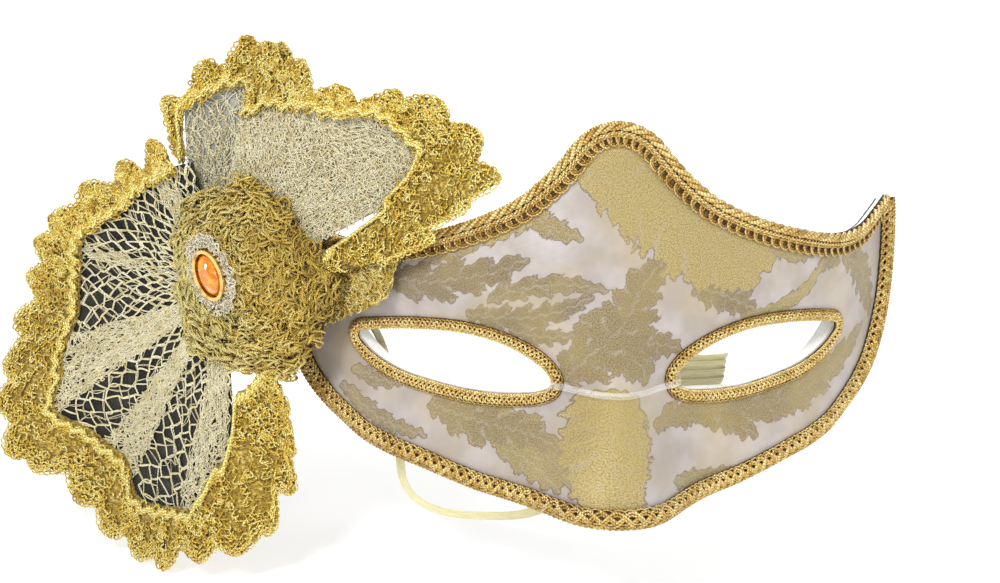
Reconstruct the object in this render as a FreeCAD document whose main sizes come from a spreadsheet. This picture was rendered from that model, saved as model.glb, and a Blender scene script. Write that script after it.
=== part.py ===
"""Venetian half mask with a gathered lace fan on its left temple.

The mask is worn facing -Y with +Z up.  Its outlines are drawn as a flat pattern (arc, height), the way a
mask blank is cut, and wrapped on an upright cylinder; relief() then pushes out the nose, brows and cheeks.
Every layer of the mask is a slab between two offsets of that one surface.  The fan stands on a plane of
its own, described in polar coordinates about the middle of the rosette.
The origin is on the lining at the bridge of the nose, where the mask seats on the wearer.
"""
import FreeCAD, Part
import math
import os
import Sketcher

V = FreeCAD.Vector

# ---------------------------------------------------------------- driving dimensions (mm, degrees)
DIMENSIONS = {
    "wrap_radius": 97.0,
    "lean_back": 4.0,
    "shell_thickness": 1.0,
    "cover_thickness": 0.45,
    "lining_thickness": 0.55,
    "glue_gap": 0.05,
    "eye_lip_depth": 4.5,
    "eye_lip_wall": 1.0,
    "top_braid_width": 7.0,
    "top_braid_height": 2.2,
    "edge_braid_width": 5.6,
    "edge_braid_height": 1.9,
    "braid_overhang": 1.2,
    "eye_braid_width": 3.8,
    "eye_braid_height": 1.7,
    "spray_height": 2.6,
    "fan_turn": -30.0,
    "hub_x": -104.6,
    "hub_y": 46.5,
    "hub_z": 12.6,
    "net_thickness": 0.4,
    "lace_thickness": 1.6,
    "pleat_height": 4.5,
    "scallop_depth": 5.0,
    "scallop_pitch": 13.5,
    "crest_setback": 4.2,
    "felt_radius": 14.0,
    "felt_depth": 34.0,
    "knot_radius": 6.5,
    "rosette_radius": 24.0,
    "rosette_height": 8.0,
    "gem_length": 12.5,
    "gem_width": 7.0,
    "gem_height": 4.0,
    "gem_tilt": -20.0,
    "bezel_wall": 1.0,
    "bezel_height": 2.4,
    "collar_wall": 3.2,
    "collar_height": 1.8,
    "ribbon_width": 3.0,
    "ribbon_cord": 1.6,
    "hank_length": 52.0,
    "hank_depth": 9.0,
    "hank_height": 7.6,
    "hank_turn": 15.0,
    "hank_slope": 6.0,
    "hank_x": 11.0,
    "hank_y": 25.0,
    "hank_z": -7.4,
    "patch_radius": 6.5,
    "patch_thickness": 0.9,
    "band_width": 1.8,
    "band_thickness": 0.3,
}

# ---------------------------------------------------------------- flat pattern of the right half (arc, height)
TOP_EDGE = [(0, 65.4), (5.4, 64.2), (9.8, 61.3), (14, 56.2), (19, 50.8), (27.5, 44), (43.5, 36.6),
            (62.5, 31), (75, 29), (86, 29.5), (96, 32), (107, 34)]
SIDE_EDGE = [(107, 34), (108.6, 27), (108.4, 17), (106, 5), (101.4, -4), (95, -12.3), (87, -18.2)]
BOTTOM_EDGE = [(0, -37), (11, -38), (24, -37.5), (35, -35.5), (43, -32.8), (52, -29.8), (61, -27.9),
               (70.5, -25.6), (79.3, -22), (87, -18.2)]
EYE_UPPER = [(15.7, -5.2), (19, -1), (24, 2.6), (32, 6), (41.5, 7.7), (53, 7.4), (65, 5.8), (77, 3.2)]
EYE_LOWER = [(77, 3.2), (71, -1.8), (61.5, -5.6), (49, -7.6), (36, -8.6), (22, -7.6), (15.7, -5.2)]
# lace spray over the left temple: lower and upper edge from the outside inwards
SPRAY_LOWER = [(-99, -5), (-90, 1), (-81, 7.5), (-72, 12.5), (-62, 18)]
SPRAY_UPPER = [(-104, 26), (-94, 26.5), (-84, 24.5), (-74, 24), (-58, 28)]

# ---------------------------------------------------------------- fan outlines (angle about the hub, radius)
UPPER_NET = [(30, 62), (36, 76), (46, 75), (58, 66), (70, 59), (84, 52)]
UPPER_LACE = [(16, 62), (20, 72), (26, 93), (35, 92), (44, 88), (52, 77), (60, 72), (68, 73), (83, 72)]
UPPER_LACE_START = [(16, 27), (24, 36), (30, 56), (37, 73), (46, 73), (58, 64), (70, 57), (83, 50)]
CREST_NET = [(70, 56), (74, 65), (86, 59), (102, 55), (110, 40)]
CREST_LACE = [(70, 72), (83, 72), (94, 66), (102, 58), (108, 56), (112, 49)]
CREST_LACE_START = [(70, 54), (75, 62), (86, 57), (102, 53), (112, 37)]
LOWER_NET = [(104, 37), (145, 39), (173, 49), (192, 53), (209, 62), (217, 71), (226, 68), (236, 69),
             (244, 77), (262, 69), (273, 48)]
LOWER_LACE = [(113, 49), (123, 43), (140, 48), (159, 55), (173, 62), (186, 69), (198, 78), (210, 87),
              (220, 94), (227, 88), (242, 93), (253, 91), (263, 81), (278, 76), (287, 62), (299, 46), (307, 31)]
LOWER_LACE_START = [(113, 35), (145, 37), (173, 47), (192, 51), (209, 60), (217, 69), (226, 66), (236, 67),
                    (244, 75), (260, 67), (270, 50), (279, 29), (307, 23)]

# ---------------------------------------------------------------- ribbon routes, from exit to hank (mm)
LEFT_ROUTE = [(-79.6, 52.4, 16.6), (-75.6, 48.2, 13.0), (-70.2, 43.6, 9.0), (-62.8, 41.0, 3.0),
              (-59.2, 37.6, -7.0), (-57.0, 35.0, -19.0), (-56.6, 33.0, -32.0), (-55.4, 31.5, -43.0),
              (-46.5, 29.5, -49.0), (-33.0, 27.5, -50.0), (-19.5, 24.0, -48.5), (-10.2, 21.5, -41.5),
              (-7.8, 20.4, -31.0), (-6.7, 20.3, -20.0), (-5.7, 20.5, -9.6)]
RIGHT_ROUTE = [(79.6, 52.4, 16.6), (77.8, 50.8, 8.5), (75.6, 48.9, -2.0), (72.0, 45.4, -13.5),
               (64.5, 41.4, -22.0), (54.0, 37.4, -26.5), (41.5, 33.6, -28.6), (29.0, 29.8, -28.9),
               (19.0, 27.0, -26.8), (12.8, 25.4, -20.8), (12.5, 25.4, -11.6)]

# ---------------------------------------------------------------- places (mm)
ROSETTE_SHIFT = (11.0, 4.6)
GEM_SHIFT = (2.8, 7.6)
FELT_SHIFT = 20.0
PATCH_PLACE = (99.0, 24.0)
LIP_CLEARANCE = 0.4
BRAID_CLEARANCE = 0.15
BAND_HEIGHT = -4.4
BAND_FRONT_ARCS = (-16, -11, -6, 0, 6, 11, 16)
BAND_REAR = [(18.6, 8.5), (17.6, 12.6), (13.0, 14.0), (0.0, 14.0), (-13.0, 14.0), (-17.6, 12.6), (-18.6, 8.5)]
TIE_SHIFT = -12.3

# ---------------------------------------------------------------- document and sheet
doc = FreeCAD.newDocument("venetian_mask")
sheet = doc.addObject("Spreadsheet::Sheet", "Dimensions")
for row, (alias, value) in enumerate(DIMENSIONS.items(), start=1):
    sheet.set(f"A{row}", alias)
    sheet.set(f"B{row}", str(value))
    sheet.setAlias(f"B{row}", alias)
doc.recompute()


def size(alias):
    """The value of one sheet cell."""
    return float(sheet.get(alias))


RADIUS = size("wrap_radius")
NODES = []


# ---------------------------------------------------------------- curves and surfaces
def smoothstep(low, high, value):
    share = min(1.0, max(0.0, (value - low) / (high - low)))
    return share * share * (3 - 2 * share)


def spline(points, share):
    """Point at a share, 0 to 1, of the length of a smooth curve through the points."""
    lengths = [0.0]
    for (x0, z0), (x1, z1) in zip(points, points[1:]):
        lengths.append(lengths[-1] + math.hypot(x1 - x0, z1 - z0))
    travel = min(1.0, max(0.0, share)) * lengths[-1]
    last = len(points) - 1
    i = next(k for k in range(last) if travel <= lengths[k + 1] or k == last - 1)
    span = lengths[i + 1] - lengths[i]
    u = (travel - lengths[i]) / span

    def slope(k, axis):
        before, after = max(k - 1, 0), min(k + 1, last)
        return (points[after][axis] - points[before][axis]) / (lengths[after] - lengths[before])

    return tuple((1 + 2 * u) * (1 - u) ** 2 * points[i][axis] + u * (1 - u) ** 2 * span * slope(i, axis)
                 + u * u * (3 - 2 * u) * points[i + 1][axis] + u * u * (u - 1) * span * slope(i + 1, axis)
                 for axis in (0, 1))


def mirrored(points):
    """A right half outline continued to the left: from the left end to the right end."""
    return [(-a, z) for a, z in reversed(points[1:])] + list(points)


def relief(arc, height):
    """Outward push of the moulded face: nose, brows and cheeks out, eye sockets in."""
    side = abs(arc)

    def bump(centre_arc, centre_height, width, tall, push):
        return push * math.exp(-((side - centre_arc) / width) ** 2 - ((height - centre_height) / tall) ** 2)

    nose_push = 24 * smoothstep(24, -40, height)
    nose_width = 9 + 8 * smoothstep(8, -40, height)
    return (nose_push * math.exp(-(side / nose_width) ** 2) + bump(48, 0, 28, 13, -4)
            + bump(40, 22, 34, 11, 2) + bump(52, -26, 26, 12, 3) + bump(0, 38, 28, 22, 3))


def mould(arc, height):
    turn = arc / RADIUS
    reach = RADIUS + relief(arc, height)
    lean = size("lean_back") * ((height - 5) / 50) ** 2
    return V(reach * math.sin(turn), RADIUS - reach * math.cos(turn) + lean, height)


def mask_point(arc, height, offset):
    """Point of the mask at an offset outwards from the outer face of its shell."""
    step = 0.01
    across = mould(arc + step, height) - mould(arc - step, height)
    upward = mould(arc, height + step) - mould(arc, height - step)
    return mould(arc, height) + across.cross(upward).normalize() * offset + V(0, seat_shift, 0)


LINING_FACE = -size("shell_thickness") - size("glue_gap") - size("lining_thickness")
seat_shift = 0.0
seat_shift = -mask_point(0, 0, LINING_FACE).y

FAN_TURN = math.radians(size("fan_turn"))
HUB = V(size("hub_x"), size("hub_y"), size("hub_z"))
FAN_RIGHT = V(math.cos(FAN_TURN), math.sin(FAN_TURN), 0)
FAN_FRONT = V(math.sin(FAN_TURN), -math.cos(FAN_TURN), 0)


def fan_point(degrees, radius, offset):
    """Point of the fan: its pleats are flat at the hub and grow towards the rim."""
    angle = math.radians(degrees)
    growth = smoothstep(24, 70, radius)
    pleat = size("pleat_height") * growth * math.sin(7 * angle + 0.6)
    return (HUB + FAN_RIGHT * (radius * math.cos(angle)) + V(0, 0, radius * math.sin(angle))
            + FAN_FRONT * (pleat + offset))


def slab(low_grid, high_grid):
    """Closed solid between two grids of points, its sides ruled between the two borders."""
    faces = []
    for grid in (low_grid, high_grid):
        surface = Part.BSplineSurface()
        surface.interpolate(grid)
        faces.append(surface.toShape())
    low_edges, high_edges = (Part.sortEdges(face.Edges)[0] for face in faces)

    def partner(edge):
        middle = edge.valueAt((edge.FirstParameter + edge.LastParameter) / 2)
        return min(high_edges, key=lambda e: e.distToShape(Part.Vertex(middle))[0])

    sides = [Part.makeRuledSurface(edge, partner(edge)) for edge in low_edges]
    shell = Part.Shell(faces + sides)
    shell.sewShape()
    solid = Part.Solid(shell)
    if solid.Volume < 0:
        solid.reverse()
    return solid


def sheet_solid(chart, place, low, high, columns, rows):
    """Slab over a chart (u, v in 0..1 to two coordinates) of a surface, between two offsets."""
    def grid(offset):
        points = []
        for i in range(columns + 1):
            points.append([place(*chart(i / columns, j / rows), offset) for j in range(rows + 1)])
        return points

    return slab(grid(low), grid(high))


def strip(edge, inset_from, inset_to, low, high, columns, inward):
    """Slab along a pattern edge, between two insets from it; inward is +1 or -1 across the edge."""
    def chart(u, v):
        step = 0.002
        (a0, z0), (a1, z1) = edge(max(0, u - step)), edge(min(1, u + step))
        length = math.hypot(a1 - a0, z1 - z0)
        inset = (inset_from + (inset_to - inset_from) * v) * inward
        a, z = edge(u)
        return a - (z1 - z0) / length * inset, z + (a1 - a0) / length * inset

    return sheet_solid(chart, mask_point, low, high, columns, 3)


def whole_mask(low, high):
    """Slab over the whole flat pattern, a patch blended from its four edges."""
    bottom, top = mirrored(BOTTOM_EDGE), mirrored(TOP_EDGE)
    right = list(reversed(SIDE_EDGE))
    left = [(-a, z) for a, z in right]

    def chart(u, v):
        (ba, bz), (ta, tz) = spline(bottom, u), spline(top, u)
        (la, lz), (ra, rz) = spline(left, v), spline(right, v)
        corners = [(left[0], (1 - u) * (1 - v)), (right[0], u * (1 - v)),
                   (left[-1], (1 - u) * v), (right[-1], u * v)]
        arc = (1 - v) * ba + v * ta + (1 - u) * la + u * ra - sum(c[0] * w for c, w in corners)
        height = (1 - v) * bz + v * tz + (1 - u) * lz + u * rz - sum(c[1] * w for c, w in corners)
        return arc, height

    return sheet_solid(chart, mask_point, low, high, 72, 26)


def eye_plug(side, low, high, grow):
    """Solid through one eye hole, its two lids moved outwards from the hole's outline by grow."""
    blunt = 0.4

    def lid(outline, away):
        (a0, z0), (a1, z1) = outline[0], outline[-1]
        points = [(a0 - 1.6 * grow, z0 + away * blunt - 0.2 * grow)]
        for (before_a, before_z), (a, z), (after_a, after_z) in zip(outline, outline[1:], outline[2:]):
            run, rise = after_a - before_a, after_z - before_z
            reach = away * grow / math.hypot(run, rise)
            points.append((a - rise * reach, z + run * reach))
        return points + [(a1 + 1.6 * grow, z1 + away * blunt + 0.2 * grow)]

    upper, lower = lid(EYE_UPPER, 1), lid(list(reversed(EYE_LOWER)), -1)

    def chart(u, v):
        (low_a, low_z), (high_a, high_z) = spline(lower, u), spline(upper, u)
        return side * (low_a + (high_a - low_a) * v), low_z + (high_z - low_z) * v

    return sheet_solid(chart, mask_point, low, high, 30, 6)


def radius_at(table, degrees):
    """Radius of a fan outline at an angle, eased from each table entry to the next."""
    if degrees <= table[0][0]:
        return table[0][1]
    for (d0, r0), (d1, r1) in zip(table, table[1:]):
        if degrees <= d1:
            return r0 + (r1 - r0) * smoothstep(d0, d1, degrees)
    return table[-1][1]


def scalloped_rim(table):
    """Radius of a fan rim worn into rounded scallops of equal pitch."""
    first, last = table[0][0], table[-1][0]
    travel = [0.0]
    for degrees in range(first, last):
        radius, after = radius_at(table, degrees), radius_at(table, degrees + 1)
        travel.append(travel[-1] + math.hypot(after - radius, math.radians(radius)))
    scallops = round(travel[-1] / size("scallop_pitch"))

    def radius(degrees):
        step = min(last - first - 1, int(degrees - first))
        part = degrees - first - step
        reached = travel[step] + (travel[step + 1] - travel[step]) * part
        wave = abs(math.sin(math.pi * scallops * reached / travel[-1]))
        return radius_at(table, degrees) - size("scallop_depth") * (1 - wave)

    return radius


def polar_sheet(inner, outer, first, last, low, high, columns, rows):
    """Slab of the fan between two radii, each a function of the angle."""
    def chart(u, v):
        degrees = first + (last - first) * u
        near, far = inner(degrees), outer(degrees)
        return degrees, near + (far - near) * v

    return sheet_solid(chart, fan_point, low, high, columns, rows)


def cord_route(points):
    """Wire of straight runs joined by tangent arcs, and the arc radii; arcs are as large as the runs allow."""
    corners = [V(*p) for p in points]
    edges, radii, start = [], [], corners[0]
    for before, corner, after in zip(corners, corners[1:], corners[2:]):
        arriving, leaving = (corner - before), (after - corner)
        setback = 0.45 * min(arriving.Length, leaving.Length)
        half_turn = arriving.getAngle(leaving) / 2
        radii.append(setback / math.tan(half_turn))
        arriving.normalize()
        leaving.normalize()
        arc_start, arc_end = corner - arriving * setback, corner + leaving * setback
        inward = (leaving - arriving).normalize()
        middle = corner + inward * (radii[-1] / math.cos(half_turn) - radii[-1])
        edges.append(Part.LineSegment(start, arc_start).toShape())
        edges.append(Part.Arc(arc_start, middle, arc_end).toShape())
        start = arc_end
    edges.append(Part.LineSegment(start, corners[-1]).toShape())
    return Part.Wire(edges), radii


# ---------------------------------------------------------------- document helpers
def add_shape(name, shape):
    """A sub-part whose shape comes from Part's own functions."""
    feature = doc.addObject("Part::Feature", name)
    feature.Label = name
    feature.Shape = shape
    feature.Placement = FreeCAD.Placement()
    NODES.append(feature)
    return feature


def add_body(name, placement):
    body = doc.addObject("PartDesign::Body", name)
    body.Label = name
    body.Placement = placement
    NODES.append(body)
    return body


def add_sketch(body, name, plane="XY_Plane"):
    sketch = body.newObject("Sketcher::SketchObject", name)
    support = next(o for o in body.Origin.OriginFeatures if o.Role == plane)
    sketch.AttachmentSupport = [(support, "")]
    sketch.MapMode = "FlatFace"
    return sketch


def bind(feature, **expressions):
    """Set properties of a document object from sheet cells."""
    for name, expression in expressions.items():
        feature.setExpression(name, expression.replace("$", "Dimensions."))


def add_disc(name, placement, radius_alias, thickness_alias):
    """Round flat patch: a sketched circle, padded."""
    body = add_body(name, placement)
    sketch = add_sketch(body, name + "_outline")
    circle = sketch.addGeometry(Part.Circle(V(0, 0, 0), V(0, 0, 1), size(radius_alias)), False)
    sketch.addConstraint(Sketcher.Constraint("Coincident", circle, 3, -1, 1))
    index = sketch.addConstraint(Sketcher.Constraint("Radius", circle, size(radius_alias)))
    sketch.setExpression(f"Constraints[{index}]", f"Dimensions.{radius_alias}")
    pad = body.newObject("PartDesign::Pad", name + "_pad")
    pad.Profile = sketch
    bind(pad, Length=f"${thickness_alias}")
    return body


def add_stadium(name, placement, length_alias, depth_alias, height_alias):
    """Block with half-round ends: a slot outline, padded."""
    body = add_body(name, placement)
    sketch = add_sketch(body, name + "_outline")
    radius = size(depth_alias) / 2
    half = size(length_alias) / 2 - radius
    centre_right, centre_left = V(half, 0, 0), V(-half, 0, 0)
    up, axis = V(0, radius, 0), V(0, 0, 1)
    quarter = math.pi / 2
    right = sketch.addGeometry(Part.ArcOfCircle(Part.Circle(centre_right, axis, radius), -quarter, quarter))
    left = sketch.addGeometry(Part.ArcOfCircle(Part.Circle(centre_left, axis, radius), quarter, 3 * quarter))
    top = sketch.addGeometry(Part.LineSegment(centre_right + up, centre_left + up))
    bottom = sketch.addGeometry(Part.LineSegment(centre_left - up, centre_right - up))
    for pair in ((top, 1, right, 2), (top, 2, left, 1), (bottom, 1, left, 2), (bottom, 2, right, 1)):
        sketch.addConstraint(Sketcher.Constraint("Tangent", *pair))
    sketch.addConstraint(Sketcher.Constraint("Horizontal", top))
    sketch.addConstraint(Sketcher.Constraint("Symmetric", left, 3, right, 3, -1, 1))
    index = sketch.addConstraint(Sketcher.Constraint("Radius", right, radius))
    sketch.setExpression(f"Constraints[{index}]", f"Dimensions.{depth_alias} / 2")
    index = sketch.addConstraint(Sketcher.Constraint("DistanceX", left, 3, right, 3, 2 * half))
    sketch.setExpression(f"Constraints[{index}]", f"Dimensions.{length_alias} - Dimensions.{depth_alias}")
    pad = body.newObject("PartDesign::Pad", name + "_pad")
    pad.Profile = sketch
    bind(pad, Length=f"${height_alias}")
    return body


def add_cushion(name, placement, radius_alias, height_alias):
    """Round flat-topped cushion with a bevelled rim: its half section revolved about the vertical axis."""
    body = add_body(name, placement)
    sketch = add_sketch(body, name + "_section", "XZ_Plane")
    radius, height = size(radius_alias), size(height_alias)
    bevel = 2.5
    corners = [V(0, 0, 0), V(radius, 0, 0), V(radius, height - bevel, 0), V(radius - bevel, height, 0),
               V(0, height, 0)]
    lines = [sketch.addGeometry(Part.LineSegment(p, q)) for p, q in zip(corners, corners[1:] + corners[:1])]
    for line, after in zip(lines, lines[1:] + lines[:1]):
        sketch.addConstraint(Sketcher.Constraint("Coincident", line, 2, after, 1))
    base, rim, slope, top, axis = lines
    sketch.addConstraint(Sketcher.Constraint("Coincident", base, 1, -1, 1))
    for line, kind in ((base, "Horizontal"), (rim, "Vertical"), (top, "Horizontal"), (axis, "Vertical")):
        sketch.addConstraint(Sketcher.Constraint(kind, line))
    for line, value, formula in ((base, radius, radius_alias), (axis, height, height_alias),
                                 (rim, height - bevel, f"{height_alias} - {bevel}"),
                                 (top, radius - bevel, f"{radius_alias} - {bevel}")):
        index = sketch.addConstraint(Sketcher.Constraint("Distance", line, value))
        sketch.setExpression(f"Constraints[{index}]", f"Dimensions.{formula}")
    revolution = body.newObject("PartDesign::Revolution", name + "_revolution")
    revolution.Profile = sketch
    revolution.ReferenceAxis = (sketch, ["V_Axis"])
    revolution.Angle = 360
    return body


def add_oval_ring(name, placement, outer, inner, height_alias):
    """Oval ring: two padded ellipses, one cut from the other; outer and inner are wall expressions."""
    blanks = []
    for part, wall in (("outer", outer), ("inner", inner)):
        oval = doc.addObject("Part::Ellipse", f"{name}_{part}_oval")
        bind(oval, MajorRadius=f"$gem_length / 2 + {wall}", MinorRadius=f"$gem_width / 2 + {wall}")
        blank = doc.addObject("Part::Extrusion", f"{name}_{part}")
        blank.Base = oval
        blank.DirMode = "Custom"
        blank.Dir = V(0, 0, 1)
        blank.Solid = True
        bind(blank, LengthFwd=f"${height_alias}")
        blanks.append(blank)
    ring = doc.addObject("Part::Cut", name)
    ring.Label = name
    ring.Base, ring.Tool = blanks
    ring.Placement = placement
    NODES.append(ring)
    return ring


def facing(point, front, turn=0.0):
    """Placement at a point with its Z axis along front, turned about it by turn degrees."""
    aim = FreeCAD.Rotation(V(1, 0, 0), V(0, 0, 1), front, "ZXY")
    return FreeCAD.Placement(point, aim.multiply(FreeCAD.Rotation(V(0, 0, 1), turn)))


# ---------------------------------------------------------------- mask: shell, lining, cover
gap = size("glue_gap")
shell_in = -size("shell_thickness")
cover_top = gap + size("cover_thickness")
lip_in = -size("eye_lip_depth")
eye_holes = [eye_plug(side, -14, 12, 0) for side in (1, -1)]
lip_blanks = [eye_plug(side, lip_in, shell_in / 2, size("eye_lip_wall")) for side in (1, -1)]
lining_holes = [eye_plug(side, -14, 12, size("eye_lip_wall") + LIP_CLEARANCE) for side in (1, -1)]

shell = whole_mask(shell_in, 0).fuse(lip_blanks).cut(eye_holes)
add_shape("mask_shell", shell)
add_shape("shell_lining", whole_mask(LINING_FACE, shell_in - gap).cut(lining_holes))
add_shape("brocade_cover", whole_mask(gap, cover_top).cut(eye_holes))

# ---------------------------------------------------------------- braids glued on the cover
braid_low = cover_top + BRAID_CLEARANCE
overhang = -size("braid_overhang")
top_edge = mirrored(TOP_EDGE)
add_shape("top_edge_braid", strip(lambda u: spline(top_edge, u), overhang, size("top_braid_width") + overhang,
                                  braid_low, braid_low + size("top_braid_height"), 120, -1))

lower_outline = [SIDE_EDGE[1]] + SIDE_EDGE[2:-1] + list(reversed(BOTTOM_EDGE))
lower_outline += [(-a, z) for a, z in reversed(lower_outline[:-1])]
add_shape("lower_edge_braid", strip(lambda u: spline(lower_outline, u), overhang,
                                    size("edge_braid_width") + overhang, braid_low,
                                    braid_low + size("edge_braid_height"), 140, -1))

for name, side in (("right_eye_braid", 1), ("left_eye_braid", -1)):
    low, high = braid_low, braid_low + size("eye_braid_height")
    ring = eye_plug(side, low, high, size("eye_braid_width")).cut(eye_plug(side, low - 1, high + 1, 0.3))
    add_shape(name, ring)


# ---------------------------------------------------------------- lace spray over the left temple
spray_low = braid_low + max(size("top_braid_height"), size("eye_braid_height")) + 0.4


def spray_chart(u, v):
    (low_a, low_z), (high_a, high_z) = spline(SPRAY_LOWER, u), spline(SPRAY_UPPER, u)
    return low_a + (high_a - low_a) * v, low_z + (high_z - low_z) * v


add_shape("temple_lace", sheet_solid(spray_chart, mask_point, spray_low, spray_low + size("spray_height"), 24, 10))

# ---------------------------------------------------------------- fan: three gathered groups
net = size("net_thickness")
layer_gap = 0.2
GATHER_RADIUS = 7.0
GROUPS = {
    "upper_fan": (UPPER_NET, UPPER_LACE_START, UPPER_LACE, 0.0),
    "crest_fan": (CREST_NET, CREST_LACE_START, CREST_LACE, size("crest_setback")),
    "lower_fan": (LOWER_NET, LOWER_LACE_START, LOWER_LACE, 0.0),
}
for name, (net_table, lace_start, lace_table, setback) in GROUPS.items():
    first, last = net_table[0][0], net_table[-1][0]
    columns = max(24, (last - first) // 2)
    low = -setback
    for layer in ("underlay", "net"):
        layer_solid = polar_sheet(lambda d: GATHER_RADIUS, lambda d: radius_at(net_table, d),
                                  first, last, low, low + net, columns, 8)
        add_shape(f"{name}_{layer}", layer_solid)
        low += net + layer_gap
    lace_solid = polar_sheet(lambda d: radius_at(lace_start, d), scalloped_rim(lace_table), lace_table[0][0],
                             lace_table[-1][0], low, low + size("lace_thickness"), 3 * columns, 3)
    add_shape(f"{name}_lace", lace_solid)

# ---------------------------------------------------------------- rosette, gem and the felt behind them
fan_face = 2 * (net + layer_gap) + size("lace_thickness") + 2 * layer_gap
rosette_seat = HUB + FAN_RIGHT * ROSETTE_SHIFT[0] + V(0, 0, ROSETTE_SHIFT[1]) + FAN_FRONT * fan_face
gem_seat = (HUB + FAN_RIGHT * GEM_SHIFT[0] + V(0, 0, GEM_SHIFT[1])
            + FAN_FRONT * (fan_face + size("rosette_height") + layer_gap))
add_cushion("rosette_lace", facing(rosette_seat, FAN_FRONT), "rosette_radius", "rosette_height")

gem_frame = facing(gem_seat, FAN_FRONT, 90 - size("gem_tilt"))
add_oval_ring("gem_collar", gem_frame, "$bezel_wall + $collar_wall", "$bezel_wall + $glue_gap", "collar_height")
add_oval_ring("gem_bezel", gem_frame, "$bezel_wall", "$glue_gap", "bezel_height")
gem = doc.addObject("Part::Ellipsoid", "gem_cabochon")
gem.Label = "gem_cabochon"
gem.Angle1 = 0
bind(gem, Radius1="$gem_height", Radius2="$gem_length / 2", Radius3="$gem_width / 2")
gem.Placement = gem_frame
NODES.append(gem)

felt_top = size("crest_setback") + layer_gap
felt_seat = HUB + FAN_RIGHT * FELT_SHIFT - FAN_FRONT * felt_top
felt_blank = doc.addObject("Part::Cylinder", "felt_blank")
bind(felt_blank, Radius="$felt_radius", Height="$felt_depth")
felt_blank.Placement = facing(felt_seat, -FAN_FRONT)
temple = doc.addObject("Part::Feature", "temple_clearance")
temple.Shape = sheet_solid(lambda u, v: (-125 + 80 * u, -20 + 70 * v), mask_point, -40,
                           spray_low + size("spray_height") + gap, 16, 10)
felt = doc.addObject("Part::Cut", "felt_pad")
felt.Label = "felt_pad"
felt.Base, felt.Tool = felt_blank, temple
NODES.append(felt)

knot = doc.addObject("Part::Cylinder", "gather_knot")
knot.Label = "gather_knot"
bind(knot, Radius="$knot_radius", Height=f"$crest_setback + {fan_face - layer_gap}")
knot.Placement = facing(HUB - FAN_FRONT * size("crest_setback"), FAN_FRONT)
NODES.append(knot)

# ---------------------------------------------------------------- ribbons, their felt patches and the hank
for side, name, route in ((-1, "left", LEFT_ROUTE), (1, "right", RIGHT_ROUTE)):
    arc, height = PATCH_PLACE
    seat = mask_point(side * arc, height, LINING_FACE - 0.35)
    inward = (mask_point(side * arc, height, LINING_FACE - 1) - mask_point(side * arc, height, 0)).normalize()
    add_disc(f"{name}_patch", facing(seat, inward), "patch_radius", "patch_thickness")
    path, radii = cord_route(route)
    section = Part.Wire(Part.makeCircle(size("ribbon_cord") / 2, V(*route[0]), V(*route[1]) - V(*route[0])))
    tube = path.makePipeShell([section], True, False)
    add_shape(f"{name}_ribbon", tube)
    expected = math.pi * size("ribbon_cord") ** 2 / 4 * path.Length
    print(f"{name}_ribbon: length {path.Length:.1f}, radii {[round(r, 1) for r in radii]}, "
          f"volume {tube.Volume:.1f} of {expected:.1f}")

hank_aim = FreeCAD.Rotation(V(0, 0, 1), size("hank_turn")).multiply(
    FreeCAD.Rotation(V(0, 1, 0), size("hank_slope")))
hank_up = hank_aim.multVec(V(0, 0, 1))
hank_middle = V(size("hank_x"), size("hank_y"), size("hank_z"))
hank_base = hank_middle - hank_up * (size("hank_height") / 2)
add_stadium("ribbon_hank", FreeCAD.Placement(hank_base, hank_aim), "hank_length", "hank_depth", "hank_height")


def loop_solid(outer, inner, rise):
    """Flat band between two closed outlines in one plane, raised off that plane."""
    filled, hole = (Part.Face(Part.Wire(outline)).extrude(rise) for outline in (outer, inner))
    return filled.cut(hole).Solids[0]


def closed_curve(points):
    """Smooth closed curve through the points."""
    curve = Part.BSplineCurve()
    curve.interpolate(Points=points, PeriodicFlag=True)
    return curve


band_width, band = size("band_width"), size("band_thickness")
band_front = braid_low + size("eye_braid_height") + 0.4
band_low = BAND_HEIGHT - band_width / 2
front = [mask_point(arc, BAND_HEIGHT, band_front) for arc in BAND_FRONT_ARCS]
band_points = [V(x, y, band_low) for x, y in [(p.x, p.y) for p in front] + BAND_REAR]
band_inner = closed_curve(band_points)
band_outer = closed_curve([p + band_inner.tangent(band_inner.parameter(p))[0].cross(V(0, 0, 1)) * band
                           for p in band_points])
add_shape("bridge_band", loop_solid(band_outer.toShape(), band_inner.toShape(), V(0, 0, band_width)))

tie_height, tie_depth = size("hank_height") / 2 + 0.3, size("hank_depth") / 2 + 0.3
tie_place = FreeCAD.Placement(hank_middle + hank_aim.multVec(V(TIE_SHIFT, 0, 0)), hank_aim)
band_side = -tie_depth - 4.2
tie_corners = [(tie_depth, -tie_height), (-tie_depth, -tie_height), (band_side, 0), (band_side, 5),
               (-tie_depth, tie_height + 1), (tie_depth, tie_height)]
tie_points = [tie_place.multVec(V(0, y, z)) for y, z in tie_corners]
tie_inner = Part.makePolygon(tie_points + tie_points[:1])
add_shape("hank_tie", loop_solid(tie_inner.makeOffset2D(band), tie_inner, hank_aim.multVec(V(band_width, 0, 0))))

# ---------------------------------------------------------------- check and write
doc.recompute()
for item in doc.Objects:
    if "Invalid" in item.State or "Error" in item.State:
        raise RuntimeError(f"{item.Name} failed: {item.State}")
os.makedirs("parts", exist_ok=True)
for node in NODES:
    shape = node.Shape
    if shape.isNull() or not shape.isValid() or not shape.Solids or shape.Volume <= 0:
        raise RuntimeError(f"{node.Label} has no valid solid")
    print(f"{node.Label}: {len(shape.Solids)} solid, {shape.Volume:.0f} mm3")
    shape.exportStep(f"parts/{node.Label}.step")
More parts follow.
